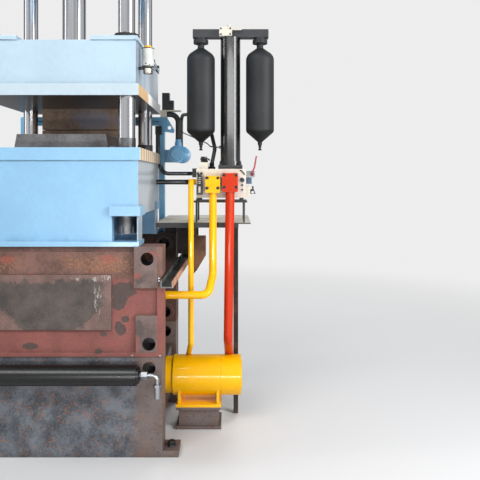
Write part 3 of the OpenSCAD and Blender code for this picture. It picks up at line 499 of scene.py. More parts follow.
def bright_steel(name, tone, rough, streak=0.10, band=40.0, painted_reflection_dark=0.0):
    """Ground and plated steel: faint lines along the axis vary tone and roughness; a painted reflection,
    a dark band between the middle and the rim of a round bar, stands for a bright hall mirrored in it."""
    net = material(name, metal=1.0)
    lines = net.noise(net.scaled(net.place(), (1.0, 1.0, 0.0)), band, 2.0, 0.5)
    dark = darker(tone, 0.72)
    body = net.mix(net.span(lines, 0.38, 0.60), dark, tone)
    # Painted reflection: a dark band between middle and rim, seen from every side
    facing = net.add("ShaderNodeLayerWeight", {"Blend": 0.5}).outputs["Facing"]
    turn = net.times(net.span(facing, 0.40, 0.50), net.span(facing, 0.72, 0.62))
    return finished(net, net.mix(turn, body, (0.20, 0.20, 0.21), painted_reflection_dark),
                    net.plus(rough, net.times(net.span(lines, 0.4, 0.7), streak)))


def forged(name, low, high, rough=0.42, metal=0.7):
    """Blackened steel with bright rubbed edges."""
    net, _, broad, fine, edges = begin(name, 14.0, (0.003, 40.0, 0.36), metal=metal)
    body = net.mix(broad, low, high)
    body = net.mix(edges["Mask"], body, (0.52, 0.53, 0.55), 0.8)
    return finished(net, body, net.plus(rough, net.times(fine, 0.2)), edges, fine, 0.15, 0.0008)


def die_finish(name, grey=False):
    """Tool steel: grey for the bolster, else browned by heat with blue tints in the middle."""
    net, where, broad, fine, edges = begin(name, 6.0, (0.003, 30.0, 0.30), metal=0.35)
    brown = net.mix(broad, (0.36, 0.30, 0.26), (0.54, 0.45, 0.38))
    blue = stain(net, 0.10, 2.385, 0.15, 0.070, wobble=1.6, soft=0.6)
    body = net.mix(blue, brown, (0.42, 0.44, 0.50), 0.75)
    body = grain(net, where, body, 0.25)
    if grey:
        side = net.over(net.size(net.facing()[0]), 0.6)
        steel = net.mix(broad, (0.32, 0.32, 0.33), (0.46, 0.46, 0.47))
        body = grain(net, where, net.mix(side, steel, (0.24, 0.18, 0.14)), 0.35)
    body = net.mix(edges["Mask"], body, (0.62, 0.52, 0.42), 0.8)
    return finished(net, body, net.plus(0.38, net.times(fine, 0.25)), edges, fine, 0.15, 0.0008)


def deck_plate(name):
    """Black steel plate whose top faces are pale grey."""
    net, where, broad, fine, edges = begin(name, 5.0, (0.004, 34.0, 0.34))
    top = net.over(net.facing()[2], 0.6)
    black = net.mix(broad, (0.09, 0.09, 0.10), (0.20, 0.20, 0.21))
    pale_top = net.mix(broad, (0.70, 0.68, 0.63), (0.88, 0.86, 0.81))
    body = net.mix(top, black, pale_top)
    body = net.mix(edges["Mask"], body, (0.45, 0.43, 0.41), 0.7)
    return finished(net, body, spread(net, fine, 0.5, 0.8), edges,
                    net.noise(where, 80.0, 4.0, 0.6), 0.3, 0.0015)


def channel_steel(name):
    """Sheet channel: grey and scuffed inside, its right wall rusty brown, where x > x0 + lean (y - y0);
    the edges are bright near the low mouth."""
    net, where, broad, fine, edges = begin(name, 12.0, (0.003, 30.0, 0.5), metal=0.3)
    x, y, _ = net.split(where)
    low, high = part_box("trough")
    points = [nodes["trough"].matrix_world @ v.co for v in nodes["trough"].data.vertices]
    near = max(p.x for p in points if p.y < low[1] + 0.05)
    far = max(p.x for p in points if p.y > high[1] - 0.05)
    lean = (far - near) / (high[1] - low[1])
    wall = net.plus(net.times(net.minus(y, low[1]), lean), near - 0.008)
    rust = net.use(RUST, scale=14.0, cover=0.35)
    grey = net.mix(broad, (0.28, 0.30, 0.30), (0.46, 0.48, 0.47))
    brown = net.mix(broad, (0.60, 0.43, 0.33), (0.84, 0.66, 0.54))
    body = net.mix(net.over(x, wall), grey, brown)
    body = net.mix(rust["Mask"], body, rust["Colour"], 0.5)
    mouth = net.span(y, low[1] + 0.20, low[1] + 0.02)
    body = net.mix(net.times(edges["Line"], mouth, clamp=True), body, (0.80, 0.81, 0.82))
    return finished(net, body, spread(net, fine, 0.38, 0.65), edges, fine, 0.2, 0.001)


# Height of the grease reservoir above its bracket, and of its cap's lower edge
POT_TALL, POT_CAP = 0.151, 0.1355


def pot_finish(name):
    """Grease reservoir, split by height: black bracket, white body, golden cap."""
    net, where, broad, fine, edges = begin(name, 12.0, (0.002, 40.0, 0.2), coat=0.3)
    z = net.split(where)[2]
    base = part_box("lubricator")[1][2] - POT_TALL
    body = net.mix(broad, (0.77, 0.77, 0.75), (0.87, 0.87, 0.84))
    body = net.mix(net.over(z, base + POT_CAP), body, YELLOW)
    body = net.mix(net.under(z, base - 0.0005), body, (0.08, 0.08, 0.09))
    return finished(net, body, net.plus(0.30, net.times(fine, 0.12)), edges)


def black_coat(name, low, high, rough, coat, scratches=0.0, speck=0.0, specular=0.5, dark_below=None):
    """Black paint with soft tone changes, a few pale scratches and dust specks; oily and darker below a height."""
    net, where, broad, fine, edges = begin(name, 4.0, (0.002, 40.0, 0.26), coat=coat, coat_rough=0.08,
                                           specular=specular)
    body = net.mix(broad, low, high)
    hair = net.noise(net.scaled(where, (14.0, 60.0, 60.0)), 2.0, 5.0, 0.8)
    body = net.mix(net.span(hair, 0.66, 0.70), body, (0.55, 0.56, 0.58), scratches)
    dots = net.noise(where, 160.0, 2.0, 0.5)
    body = net.mix(net.span(dots, 0.70, 0.74), body, (0.45, 0.46, 0.48), speck)
    body = net.mix(edges["Mask"], body, (0.40, 0.41, 0.43), 0.4)
    if dark_below is not None:
        oily = net.span(net.split(where)[2], dark_below, dark_below - 0.035)
        body = net.mix(oily, body, (0.035, 0.038, 0.04))
    return finished(net, body, net.plus(rough, net.times(fine, 0.10)), edges,
                    net.noise(where, 260.0, 2.0, 0.5), 0.06, 0.0005)


# Half widths past which the platens' sides get a painted reflection, inside the side strips of the moving one
PLATEN_SIDE, PALE_SIDE = 0.585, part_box("moving_platen")[1][0] - 0.012
FINISH = {
    "rust_primer": primer_frame("rusty primer", PRIMER, 0.34),
    # The rear frame's darker primer is painted shade for the shadow it stands in
    "rear_primer": primer_frame("rear primer in painted shade", (0.33, 0.22, 0.19), 0.40, dark=0.5),
    "rack_rust": rack_steel("rack rust"),
    "dark_steel": mill_steel("mill scale", (0.20, 0.22, 0.25), (0.43, 0.45, 0.48), (0.42, 0.35, 0.32), 0.36),
    "plates": plate_steel("lug and patch plates"),
    # Both platen enamels' side tones are a painted reflection of a bright room in glossy paint
    "light_blue_paint": enamel("platen enamel", PLATEN_BLUE, EDGE_HIGHLIGHT_BLUE, (0.20, 0.29, 0.36), rough=0.30,
                               chip=(0.33, 0.40, 0.45), wear=0.06,
                               side=(PLATEN_SIDE, (0.60, 0.65, 0.69), (0.84, 0.86, 0.87), 1.90)),
    # The moving platen's paler blue is painted light
    "pale_paint": enamel("moving platen enamel", DAYLIT_PLATEN_BLUE, EDGE_HIGHLIGHT_BLUE, (0.28, 0.36, 0.42), rough=0.38,
                         coat=0.15, chip=(0.40, 0.46, 0.50), wear=0.06,
                         side=(PALE_SIDE, (0.36, 0.46, 0.54), (0.86, 0.90, 0.94), 2.75)),
    "machined_steel": bed_finish("bed plate finish", PLATEN_BLUE, (0.86, 0.73, 0.57),
                                 (1.0, 0.93, 0.79), 0.118),
    # The face plate's paler front blue is painted light
    "face_finish": bed_finish("face plate finish", (0.74, 0.81, 0.85), (0.70, 0.50, 0.28),
                              (0.98, 0.82, 0.56), 0.36, highlight_from=-0.02),
    "blackened_steel": forged("blackened steel", (0.11, 0.11, 0.12), (0.24, 0.24, 0.25)),
    "nut_steel": forged("nut steel", (0.24, 0.24, 0.25), (0.42, 0.42, 0.43), rough=0.34, metal=0.85),
    "hard_chrome": bright_steel("hard chrome", (0.93, 0.93, 0.94), 0.13, streak=0.0, painted_reflection_dark=0.8),
    "zinc": bright_steel("zinc plate", (0.58, 0.59, 0.60), 0.33, 0.05, 9.0),
    "die_steel": die_finish("heat-tinted die steel"),
    "bolster": die_finish("bolster steel", grey=True),
    "black_plate": deck_plate("deck plate"),
    "channel": channel_steel("channel steel"),
    "pot": pot_finish("reservoir finish"),
    "cream_paint": enamel("ivory block", IVORY, (0.97, 0.96, 0.93), (0.40, 0.35, 0.29), rough=0.36,
                          coat=0.2, chip=(0.55, 0.50, 0.45), wear=0.10),
    "black_paint": black_coat("black gloss", (0.02, 0.02, 0.025), (0.05, 0.05, 0.055), 0.20, 0.35, 0.6, 0.4),
    "shell_black": black_coat("shell black", (0.10, 0.11, 0.12), (0.15, 0.16, 0.17), 0.52, 0.0, 0.1, 0.2,
                              specular=0.35, dark_below=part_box("bladder_accumulators")[0][2] + 0.150),
    "ram_black": black_coat("ram black", (0.02, 0.022, 0.025), (0.05, 0.052, 0.056), 0.27, 0.0, 0.5, 0.8,
                            specular=0.45),
    "grey_black": black_coat("beam black", (0.13, 0.14, 0.15), (0.19, 0.20, 0.215), 0.48, 0.0, 0.3, 0.4),
    "golden_paint": enamel("golden enamel", YELLOW, (1.0, 0.88, 0.40), (0.52, 0.36, 0.03), rough=0.38,
                           coat=0.4, corner_shade=0.35, chip=(0.60, 0.45, 0.10), wear=0.03, orange_peel=0.01,
                           coat_rough=0.04, specular=0.12),
    "red_paint": enamel("red enamel", RED, (0.97, 0.50, 0.30), (0.40, 0.10, 0.05), rough=0.40,
                        coat=0.25, specular=0.12, corner_shade=0.35, chip=(0.55, 0.20, 0.12), wear=0.03, orange_peel=0.02),
    "pump_paint": enamel("pump enamel", (0.46, 0.73, 0.91), (0.62, 0.82, 0.94), (0.12, 0.26, 0.36),
                         rough=0.26, coat=0.6, chip=CHIP_GREY, wear=0.06),
    "mid_blue_paint": enamel("portal enamel", PORTAL_BLUE, (0.50, 0.72, 0.86), (0.10, 0.20, 0.28),
                             rough=0.28, chip=CHIP_GREY, wear=0.10),
    "navy_paint": enamel("stop valve enamel", (0.25, 0.36, 0.50), (0.42, 0.55, 0.68),
                         (0.08, 0.12, 0.18), rough=0.30, chip=CHIP_GREY, wear=0.10),
    "crimson": enamel("lever enamel", (0.62, 0.16, 0.20), (0.80, 0.40, 0.42), (0.25, 0.08, 0.08),
                      chip=(0.50, 0.48, 0.47), wear=0.10),
    "hose_rubber": black_coat("hose rubber", (0.05, 0.05, 0.055), (0.11, 0.11, 0.115), 0.38, 0.15),
    "weld": forged("weld metal", (0.20, 0.17, 0.16), (0.40, 0.34, 0.31), 0.45, 0.5),
    "black_screw": forged("black screws", (0.05, 0.05, 0.055), (0.12, 0.12, 0.125), 0.36, 0.6),
    "bright_screw": forged("bright screws", (0.55, 0.56, 0.58), (0.72, 0.73, 0.74), 0.30, 0.9),
}
SPECIAL = {
    "front_plates": "plates", "lower_die": "bolster", "suction_pump": "pump_paint", "shutoff_valve": "navy_paint",
    "valve_lever": "crimson", "rear_frame": "rear_primer", "moving_platen": "pale_paint",
    "face_plate": "face_finish", "piston_accumulator": "black_paint", "trough": "channel", "lubricator": "pot",
    "column_nuts": "nut_steel", "column_collars": "nut_steel", "front_cylinder": "ram_black"}
for entry in frame["record"]["subparts"]:
    look = FINISH[SPECIAL.get(entry["node"], entry["material_slot"])]
    for socket in nodes[entry["node"]].material_slots:
        socket.material = look


# ------------------------------------------------------------- making pieces

def frame_from(axis):
    """Two unit vectors square to the axis and to each other, and the axis itself."""
    axis = np.asarray(axis, float) / np.linalg.norm(axis)
    helper = np.array([0.0, 0.0, 1.0]) if abs(axis[2]) < 0.9 else np.array([1.0, 0.0, 0.0])
    across = np.cross(helper, axis)
    across /= np.linalg.norm(across)
    return across, np.cross(axis, across), axis


def turned(profile, centre, axis, sides=24):
    """Profile rows (radius, height, hex share) spun about the axis: point = centre + radius
    (cos a, sin a) + height; a hex row's radius is divided by the cosine of the angle to its flat."""
    rows = np.array([(*row, 0.0)[:3] for row in profile], float)
    across, up, along = frame_from(axis)
    angle = np.arange(sides) * 2 * math.pi / sides
    to_flat = (angle + math.pi / 6) % (math.pi / 3) - math.pi / 6
    hexed = 1 / np.cos(to_flat)
    radius = rows[:, :1] * (1 + rows[:, 2:3] * (hexed - 1))
    spoke = np.cos(angle)[:, None] * across + np.sin(angle)[:, None] * up
    return np.asarray(centre, float) + radius[..., None] * spoke + rows[:, 1, None, None] * along


def carried(path, radius, sides=10):
    """Round section carried along a path: point = path + radius (cos a side + sin a lift),
    closed to a point at both ends; side is the tangent crossed with Z or X."""
    path = np.asarray(path, float)
    radius = np.broadcast_to(radius, len(path))
    tangent = np.gradient(path, axis=0)
    tangent /= np.linalg.norm(tangent, axis=1)[:, None]
    helper = np.array([0.0, 0.0, 1.0]) if np.abs(tangent[:, 2]).max() < 0.95 else np.array([0.3, 1.0, 0.0])
    side = np.cross(tangent, helper)
    side /= np.linalg.norm(side, axis=1)[:, None]
    lift = np.cross(side, tangent)
    angle = np.arange(sides) * 2 * math.pi / sides
    ring = np.cos(angle)[:, None] * side[:, None] + np.sin(angle)[:, None] * lift[:, None]
    tube = path[:, None] + radius[:, None, None] * ring
    caps = [np.repeat(path[:1, None], sides, 1), np.repeat(path[-1:, None], sides, 1)]
    return np.concatenate([caps[0], tube, caps[1]])


CHAMFER = 0.0015


def brick(low, high):
    """Box with chamfered edges: six rows of a rounded rectangle from pole to pole."""
    low, high = np.asarray(low, float), np.asarray(high, float)
    middle, half = (low + high) / 2, (high - low) / 2
    c = min(CHAMFER, *(half * 0.4))
    quarter = [(half[0], half[1] - c), (half[0] - c, half[1])]
    outline = np.array([(sx * px, sy * py) for sx, sy in ((1, 1), (-1, 1), (-1, -1), (1, -1))
                        for px, py in quarter[::sx * sy]])
    inset = outline * (half[:2] - c) / half[:2]
    rows = [(outline * 0, -half[2]), (inset, -half[2]), (outline, -half[2] + c),
            (outline, half[2] - c), (inset, half[2]), (outline * 0, half[2])]
    return np.array([np.column_stack([flat, np.full(len(flat), z)]) for flat, z in rows]) + middle


SHARP_ANGLE = math.radians(32)


def piece(name, grids, finish="black_screw", body="machine"):
    """One mesh from grids of points (rows, columns, 3) whose columns close to a ring; doubles are
    merged, faces turned outwards and edges past the sharp angle left sharp."""
    spots, faces, start = [], [], 0
    for grid in grids:
        rows, columns = grid.shape[:2]
        index = start + np.arange(rows * columns).reshape(rows, columns)
        after = np.roll(index, -1, axis=1)
        faces.append(np.stack([index[:-1], after[:-1], after[1:], index[1:]], -1).reshape(-1, 4))
        spots.append(grid.reshape(-1, 3))
        start += rows * columns
    mesh = bpy.data.meshes.new(name)
    mesh.from_pydata(np.concatenate(spots), [], np.concatenate(faces))
    shape = bmesh.new()
    shape.from_mesh(mesh)
    bmesh.ops.remove_doubles(shape, verts=shape.verts, dist=2e-6)
    bmesh.ops.recalc_face_normals(shape, faces=shape.faces)
    shape.to_mesh(mesh)
    shape.free()
    mesh.shade_smooth()
    mesh.set_sharp_from_angle(angle=SHARP_ANGLE)
    mesh.materials.append(FINISH[finish])
    made = bpy.data.objects.new(name, mesh)
    bpy.context.scene.collection.objects.link(made)
    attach(made, body)
    return made


def peg(r, h, hexed=0):
    """Profile of a plain or hexagon peg."""
    return [(0, 0), (r, 0, hexed), (r, h, hexed), (0, h)]


def band(inner, outer, z, tall, slope=0.0):
    """Profile of a ring from a height, with sloping ends."""
    return [(inner, z), (outer, z + slope), (outer, z + tall - slope), (inner, z + tall), (inner, z)]


def socket_screw(centre, axis, head, height):
    """Cap screw head standing on centre: knurled-size cylinder with a hexagon socket."""
    r, c = head / 2, head * 0.05
    return turned([(0, 0), (r, 0), (r, height - c), (r - c, height), (r * 0.56, height, 1),
                   (r * 0.52, height * 0.45, 1), (0, height * 0.40)], centre, axis, 24)


def hex_bolt(centre, axis, flats, height):
    """Hexagon head on a washer, with the corners turned off on top."""
    r, w = flats / 2, height * 0.18
    return turned([(0, 0), (r * 1.35, 0), (r * 1.35, w), (r, w, 1), (r, w + height * 0.86, 1),
                   (r * 0.98, w + height), (0, w + height)], centre, axis, 24)


BEAD_STEP = 0.006


def bead(points, width):
    """Weld bead along straight legs: a round section whose radius ripples with its length."""
    points = [np.asarray(p, float) for p in points]
    legs = []
    for a, b in zip(points[:-1], points[1:]):
        count = max(3, int(np.linalg.norm(b - a) / BEAD_STEP))
        share = np.linspace(0, 1, count)[:, None]
        length = share[:, 0] * np.linalg.norm(b - a)
        ripple = 1 + 0.14 * np.sin(length * 2 * math.pi / 0.011) + 0.08 * np.sin(length * 2 * math.pi / 0.047)
        legs.append(carried(a + (b - a) * share, width / 2 * ripple, 8))
    return legs


def bolt_circle(count, radius, centre, axis, make, head, turn=0.0):
    """A fastener repeated on a circle round the axis."""
    across, up, _ = frame_from(axis)
    angles = turn + np.arange(count) * 2 * math.pi / count
    centre = np.asarray(centre, float)
    return [make(centre + radius * (math.cos(a) * across + math.sin(a) * up), axis, *head) for a in angles]


def box(node):
    low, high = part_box(node)
    return np.array(low), np.array(high)


# ------------------------------------------------------------------ fasteners

FRONT, BACK, UP, DOWN, RIGHT = (0, -1, 0), (0, 1, 0), (0, 0, 1), (0, 0, -1), (1, 0, 0)
SIDES = (-1, 1)
# Width and height of screw heads, and the turn that starts a circle of twelve half a step round
SMALL_CAP, STOP_CAP, HEAD_CAP, FLANGE_CAP = (0.013, 0.006), (0.016, 0.010), (0.021, 0.013), (0.022, 0.013)
CLAMP_HEX, FOOT_HEX, ANCHOR_HEX, LEVER_HEX = (0.036, 0.022), (0.019, 0.012), (0.046, 0.030), (0.015, 0.009)
HALF_STEP = math.radians(15)

# Screws of the flange blocks: depth of their seats, and their axes from the blocks' sides, feet and tops
SEAT_DEPTH, FLANGE_SIDE, FLANGE_FOOT, FLANGE_TOP = 0.016, 0.015, 0.037, 0.016
corner, block_high = box("manifold_block")
flange_y = box("yellow_pipe")[0][1] + SEAT_DEPTH
for name, x, half, z_low, z_high in (("yellow", 0.128, 0.0545, 0.039, 0.127), ("red", 0.256, 0.059, 0.045, 0.141)):
    places = [(corner[0] + x + side * (half - FLANGE_SIDE), flange_y, corner[2] + z_low + z)
              for side in SIDES for z in (FLANGE_FOOT, z_high - FLANGE_TOP)]
    piece(name + "_flange_screws", [socket_screw(place, FRONT, *FLANGE_CAP) for place in places])

HEAD_SEAT, HEAD_EDGE = 0.020, 0.021
head_low, head_high = box("shot_head")
shot_centre = (head_high[0] - HEAD_SEAT, 0.0, (head_low[2] + head_high[2]) / 2)
shot_r = (head_high[2] - head_low[2]) / 2 - HEAD_EDGE
piece("shot_head_screws", bolt_circle(12, shot_r, shot_centre, RIGHT, socket_screw, HEAD_CAP, HALF_STEP))

CLAMP_EDGE, CLAMP_FLANGE_T = 0.035, 0.06
clamp_low, clamp_high = box("clamp_cylinder")
clamp_r = (clamp_high[0] - clamp_low[0]) / 2 - CLAMP_EDGE
piece("clamp_foot_bolts", bolt_circle(12, clamp_r, (0, 0, clamp_low[2] + CLAMP_FLANGE_T), UP, hex_bolt, CLAMP_HEX,
                                      HALF_STEP), "bright_screw")

BUSH_R, BUSH_CIRCLE_R = 0.0855, 0.073
cover_high = box("bush_covers")[1]
column = cover_high[:2] - BUSH_R
piece("bush_cover_screws", [screw for sx in SIDES for sy in SIDES for screw in bolt_circle(
    6, BUSH_CIRCLE_R, (sx * column[0], sy * column[1], cover_high[2]), UP, socket_screw, SMALL_CAP)],
    "black_screw", "platen")

valve_low = box("top_valve")[0]
piece("top_valve_screws", [socket_screw(valve_low + (x, 0, z), FRONT, *SMALL_CAP)
      for x in (0.013, 0.085) for z in (0.012, 0.056)])

FOOT_IN, ACC_FOOT_T = 0.018, 0.030
acc_low, acc_high = box("piston_accumulator")
piece("accumulator_foot_bolts", [hex_bolt((x, y, acc_low[2] + ACC_FOOT_T), UP, *FOOT_HEX)
      for x in (acc_low[0] + FOOT_IN, acc_high[0] - FOOT_IN) for y in (acc_low[1] + FOOT_IN, acc_high[1] - FOOT_IN)])

ANCHOR_IN, ANCHOR_Y, FOOT_T = 0.055, 0.5, 0.040
anchor_x = box("lower_sections")[1][0] - ANCHOR_IN
piece("anchor_nuts", [hex_bolt((sx * anchor_x, sy * ANCHOR_Y, FOOT_T), UP, *ANCHOR_HEX)
      for sx in SIDES for sy in SIDES])

# ------------------------------------------------------------- small fittings

pot_low, pot_high = box("lubricator")
POT_R = 0.043
pot = np.array((pot_high[0] - POT_R, (pot_low[1] + pot_high[1]) / 2, pot_high[2] - POT_TALL))
knurls = [(0.0265 + 0.0008 * (i % 2), 0.137 + 0.0016 * i) for i in range(9)]
piece("lubricator_cap", [turned([(0, 0.136), (0.024, 0.136), *knurls, (0.022, 0.1535), (0, 0.1535)], pot, UP, 40)],
      "golden_paint", "platen")
piece("lubricator_rings", [turned(band(0.0432, 0.0450, z, 0.007, 0.0015), pot, UP, 48) for z in (-0.001, 0.128)],
      "black_paint", "platen")
piece("lubricator_end", [turned([(0, -0.052), (0.016, -0.051), (0.023, -0.044), (0.024, -0.016), (0, -0.016)],
      pot + (0.004, -0.030, 0), UP, 32)], "cream_paint", "platen")
tee = pot + (0.040, -0.012, -0.022)
tee_run = tee + np.array([(0, 0, 0), (0.016, 0, 0.006), (0.030, 0, 0.018), (0.040, 0, 0.030)])
tee_drop = tee + np.array([(0.014, 0, 0.004), (0.026, 0, -0.010), (0.040, 0, -0.026)])
piece("lubricator_fitting", [carried(tee_run, 0.0055), carried(tee_drop, (0.0055, 0.0055, 0.004)),
      turned(peg(0.009, 0.010, 1), tee_run[2], (0.7, 0, 0.7))], "black_paint", "platen")
piece("lubricator_studs", [
    turned(peg(0.005, 0.003), pot + (dx, -math.sqrt(POT_R ** 2 - dx ** 2) + 0.0005, z), FRONT, 16)
    for dx, z in ((-0.008, 0.020), (0.020, 0.012))], "black_paint", "platen")

# Cartridge valve at the manifold's left: pale window, rings and caps
valve = corner + (0.027, 0, 0)
piece("cartridge_window", [brick(valve + (-0.008, -0.049, 0.040), valve + (0.008, -0.045, 0.086))], "cream_paint")
piece("cartridge_rings", [turned(band(0.017, 0.0195, 0, 0.008, 0.001), valve + (0, -0.023, z), UP, 32)
      for z in (0.106, 0.120, 0.134, 0.148)], "bright_screw")
piece("cartridge_caps", [turned([(0, 0), (0.010, 0), (0.010, 0.012), (0.007, 0.016), (0, 0.016)],
      valve + (dx, -0.022, 0.177), UP, 20) for dx in (-0.013, 0.013)], "black_paint")

# Bent tube on the front face, plugs' rims, and the side block's fitting
plug = corner + (0.347, 0, 0)
arc = np.linspace(0, 1, 9)
bent = plug + (-0.016, -0.006, 0.209) + np.outer(arc, (0.036, 0, 0)) - np.outer(arc ** 1.6, (0, 0, 0.034))
piece("manifold_tube", [carried(bent, 0.0045)], "black_paint")
piece("plug_rings", [turned(band(r - 0.004, r, 0, 0.003), plug + (0, 0, z), FRONT, 32)
      for r, z in ((0.021, 0.134), (0.011, 0.096), (0.011, 0.060))], "zinc")
piece("side_fitting_nut", [turned(peg(0.010, 0.010, 1), (block_high[0] + 0.020, -0.0515, corner[2] + 0.040),
      FRONT, 24)], "zinc")

# Valves on the raised pad and the hose's nut
pad = np.array((corner[0] + 0.035, -0.035, block_high[2]))
piece("pad_valves", [
    turned(peg(0.006, 0.016), pad + (0, -0.005, 0), UP, 16),
    turned([(0, 0.014), (0.008, 0.016), (0.012, 0.024), (0.008, 0.033), (0, 0.035)], pad + (0, -0.005, 0), UP, 20),
    turned([(0, 0), (0.010, 0, 1), (0.010, 0.020, 1), (0.006, 0.022), (0.006, 0.036), (0, 0.036)],
           pad + (0.036, 0, -0.001), UP, 24),
    carried(pad + np.array([(0.030, 0, 0.030), (0.050, 0, 0.027), (0.062, 0, 0.016)]), 0.006)], "black_paint")
piece("hose_nuts", [turned([(0, 0), (0.024, 0, 1), (0.024, 0.020, 1), (0.019, 0.022), (0.019, 0.052), (0, 0.052)],
      (corner[0] + 0.110, 0.060, corner[2] + 0.219), UP, 24)])

# Valves at the shells' lower ends
SHELL_R, OVERLAP = 0.1095, 0.001
shell_low, shell_high = box("bladder_accumulators")
piece("shell_valves", [turned([(0, 0), (0.008, 0), (0.008, 0.010), (0.013, 0.012), (0.013, 0.024), (0, 0.024)],
      (x, 0, shell_low[2] + OVERLAP), DOWN, 20) for x in (shell_low[0] + SHELL_R, shell_high[0] - SHELL_R)])

# Nut on the lever's hub
HUB_X, HUB_Z = 1.391, 1.938
piece("lever_nut", [hex_bolt((HUB_X, box("valve_lever")[0][1] + OVERLAP, HUB_Z), FRONT, *LEVER_HEX)],
      "black_screw", "lever")

# Small stop and screw on the bed plate, hook in the channel
bed_z = box("bed_plate")[1][2]
piece("bed_stop", [brick((0.376, -0.470, bed_z), (0.412, -0.425, bed_z + 0.015))], "zinc")
piece("bed_stop_screw", [socket_screw((0.352, -0.450, bed_z), UP, *STOP_CAP)])
turn = np.linspace(-0.5 * math.pi, 0.9 * math.pi, 14)
hook = np.column_stack([0.812 + 0.010 * np.cos(turn), -0.100 - 0.020 * np.sin(turn), 1.236 + 0.020 * np.sin(turn)])
shank = np.linspace((0.800, -0.125, 1.208), (0.812, -0.081, 1.215), 6)
piece("channel_hook", [carried(np.concatenate([shank, hook]), 0.003)], "zinc")

# Dark discs at the back of the rear bores: painted shade that makes the bores look dark from the front
SHADE_DISC_R, SHADE_DISC_T, SHADE_DISC_Y = 0.0434, 0.005, 0.575
piece("rear_bore_shade_discs", [turned(peg(SHADE_DISC_R, SHADE_DISC_T), (side * x, SHADE_DISC_Y, z), BACK, 40)
      for side in SIDES for x, z in BORE_PLACES])

# ---------------------------------------------------------------- weld beads

# The panel lies back from the strips round it; lugs stand round the holes, a patch in the middle
PANEL_STEP, LIP, STRIP, LUG_IN, HOLE_IN, HOLE_SHIFT = 0.018, 0.027, 0.035, 0.090, 0.103, 0.012
UPPER_LUG, LOWER_LUG, PATCH_UP, PATCH_HALF, PATCH_TALL = (0.283, 0.038), 0.253, 0.180, 0.410, 0.376
(left, front, seam_z), (right, _, top) = box("front_frame")
upper_hole, strip_x = right - HOLE_IN, right - STRIP
patch_low = seam_z + PATCH_UP
patch_high = patch_low + PATCH_TALL


def panel_bead(width, *corners):
    """Weld bead on the set-back panel through corners (x, z)."""
    return bead([(x, front + PANEL_STEP, z) for x, z in corners], width)


welds = bead([(left + 0.01, front + 0.009, seam_z), (right - 0.01, front + 0.009, seam_z)], 0.008)
for side in SIDES:
    for z_low, z_high, hole_x, level in (
            (top - UPPER_LUG[0], top - UPPER_LUG[1], upper_hole, 0),
            (seam_z + LIP, seam_z + LIP + LOWER_LUG, upper_hole + HOLE_SHIFT, 1)):
        inner, edge_z = side * (hole_x - LUG_IN), (z_low, z_high)[level]
        welds += panel_bead(0.007, (inner, z_high), (inner, z_low))
        welds += panel_bead(0.007, (inner, edge_z), (side * strip_x, edge_z))
welds += panel_bead(0.006, (-PATCH_HALF, patch_high), (PATCH_HALF, patch_high), (PATCH_HALF, patch_low),
                    (-PATCH_HALF, patch_low), (-PATCH_HALF, patch_high))
piece("frame_weld_beads", welds, "weld")
dabs = [(right - 0.023, front - 0.002, 1.222), (right - 0.021, front - 0.002, 1.205),
        (0.556, front + 0.004, seam_z + 0.008), (0.745, front + 0.002, seam_z + 0.006)]
piece("bright_weld_dabs", [turned([(0, -0.004), (0.006, -0.002), (0.008, 0.001), (0.005, 0.004), (0, 0.005)],
      place, FRONT, 14) for place in dabs], "bright_screw")

# --------------------------------------------------------------------- stage

BACKDROP = (0.93, 0.93, 0.93)


def stage_plane(name, half, z, tone):
    """Flat floor sheet, a two by two grid of points, pale and matt."""
    mesh = bpy.data.meshes.new(name)
    mesh.from_pydata([(-half, -half, z), (half, -half, z), (half, half, z), (-half, half, z)], [], [(0, 1, 2, 3)])
    net = material(name)
    finished(net, tone, 0.8)
    far = net.vector("LENGTH", net.place())
    seen = net.add("ShaderNodeLightPath").outputs["Is Camera Ray"]
    haze = net.add("ShaderNodeEmission", {"Color": BACKDROP})
    shader = net.tree.nodes["Principled BSDF"].outputs[0]
    both = net.add("ShaderNodeMixShader", {0: net.times(seen, net.span(far, 2.5, 9.0)), 1: shader, 2: haze.outputs[0]})
    net.feed(net.tree.nodes["Material Output"].inputs["Surface"], both.outputs[0])
    mesh.materials.append(net.made)
    sheet = bpy.data.objects.new(name, mesh)
    bpy.context.scene.collection.objects.link(sheet)


stage_plane("studio_floor", 40.0, -0.002, (0.81, 0.81, 0.81))

# Polished chrome would mirror the lamps as hard white blots, so it gets its own dim ones
CHROME = bpy.data.collections.new("chrome pieces")
NOT_CHROME = bpy.data.collections.new("chrome pieces left out")
for node_name in ("columns", "clamp_rod"):
    CHROME.objects.link(nodes[node_name])
    NOT_CHROME.objects.link(nodes[node_name])
for entry in NOT_CHROME.collection_objects:
    entry.light_linking.link_state = "EXCLUDE"
CHROME_GLARE = 1.5

# The piston accumulator mirrors a broad band of windows
WINDOW_BAND = bpy.data.collections.new("pieces with the window band")
WINDOW_BAND.objects.link(nodes["piston_accumulator"])


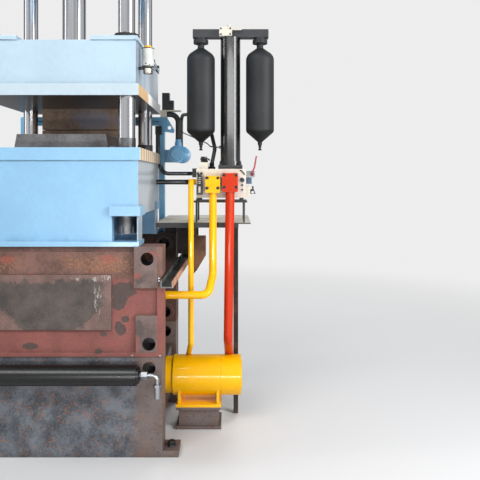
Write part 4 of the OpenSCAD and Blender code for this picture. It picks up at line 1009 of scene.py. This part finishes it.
def softbox(name, place, aim, size, watts, mirrored=True, lit=True, only=None):
    """Area lamp of a given width and height, turned to look at a point; mirrored: it shows in shiny faces;
    lit: it lights matt ones; only: a collection it is kept to. Without one, a dim twin of radiance
    CHROME_GLARE = watts/(pi area) stands for it in chrome."""
    from_to = np.array(aim, float) - np.array(place, float)
    from_to /= np.linalg.norm(from_to)
    dim = CHROME_GLARE * math.pi * size[0] * size[1]
    twins = [("", watts, NOT_CHROME), ("_in_chrome", dim, CHROME)] if only is None else [("", watts, only)]
    for suffix, power, receivers in twins:
        lamp = bpy.data.lights.new(name + suffix, "AREA")
        lamp.shape = "RECTANGLE"
        lamp.size, lamp.size_y = size
        lamp.energy = power
        made = bpy.data.objects.new(name + suffix, lamp)
        bpy.context.scene.collection.objects.link(made)
        made.visible_glossy = mirrored
        made.visible_diffuse = lit
        made.location = place
        made.rotation_euler = (math.acos(-from_to[2]), 0, math.atan2(from_to[0], -from_to[1]) + math.pi)
        made.light_linking.receiver_collection = receivers


softbox("front_key", (-1.8, -5.4, 6.6), (0.3, 0, 1.6), (4.0, 2.6), 300)
softbox("right_fill", (6.0, -3.2, 3.5), (0.6, 0, 1.8), (2.6, 3.4), 180)
softbox("low_fill", (3.6, -5.0, 1.1), (1.2, 0, 1.5), (1.8, 1.4), 50)
softbox("right_strip", (4.6, -2.6, 3.0), (1.1, 0, 2.4), (0.8, 3.0), 85)
softbox("front_line", (1.0, -5.6, 0.7), (1.1, 0, 0.6), (3.4, 0.30), 150, lit=False)
softbox("window_band", (1.4, -3.0, 3.0), (1.4, 0, 3.0), (4.6, 1.1), 130, lit=False, only=WINDOW_BAND)
softbox("left_strip", (-5.0, -1.0, 3.4), (0, 0, 2.0), (0.8, 3.4), 110)
softbox("rear_rim", (2.5, 6.0, 5.0), (0.2, 0, 2.2), (3.4, 2.0), 260, mirrored=False)

world = bpy.data.worlds.new("studio")
bpy.context.scene.world = world
world.use_nodes = True
sky = Net(world.node_tree)
background = world.node_tree.nodes["Background"]
rays = sky.add("ShaderNodeLightPath").outputs
seen = sky.math("MAXIMUM", rays["Is Camera Ray"], sky.times(rays["Is Glossy Ray"], 0.35))
sky.feed(background.inputs["Color"], sky.mix(seen, (0.80, 0.81, 0.83), BACKDROP))
sky.feed(background.inputs["Strength"], sky.plus(0.60, sky.times(seen, 0.40)))

# The camera stands where the photograph's did, found from its vanishing point
camera_data = bpy.data.cameras.new("camera")
camera_data.sensor_fit = "HORIZONTAL"
camera_data.sensor_width = 36.0
camera_data.lens = 44.25
camera_data.shift_x = 0.0146
camera_data.shift_y = -0.127
camera = bpy.data.objects.new("camera", camera_data)
camera.location = (1.243, -4.621, 1.900)
camera.rotation_euler = (math.pi / 2, 0, 0)
bpy.context.scene.collection.objects.link(camera)
bpy.context.scene.camera = camera
bpy.context.scene.view_settings.view_transform = "Standard"
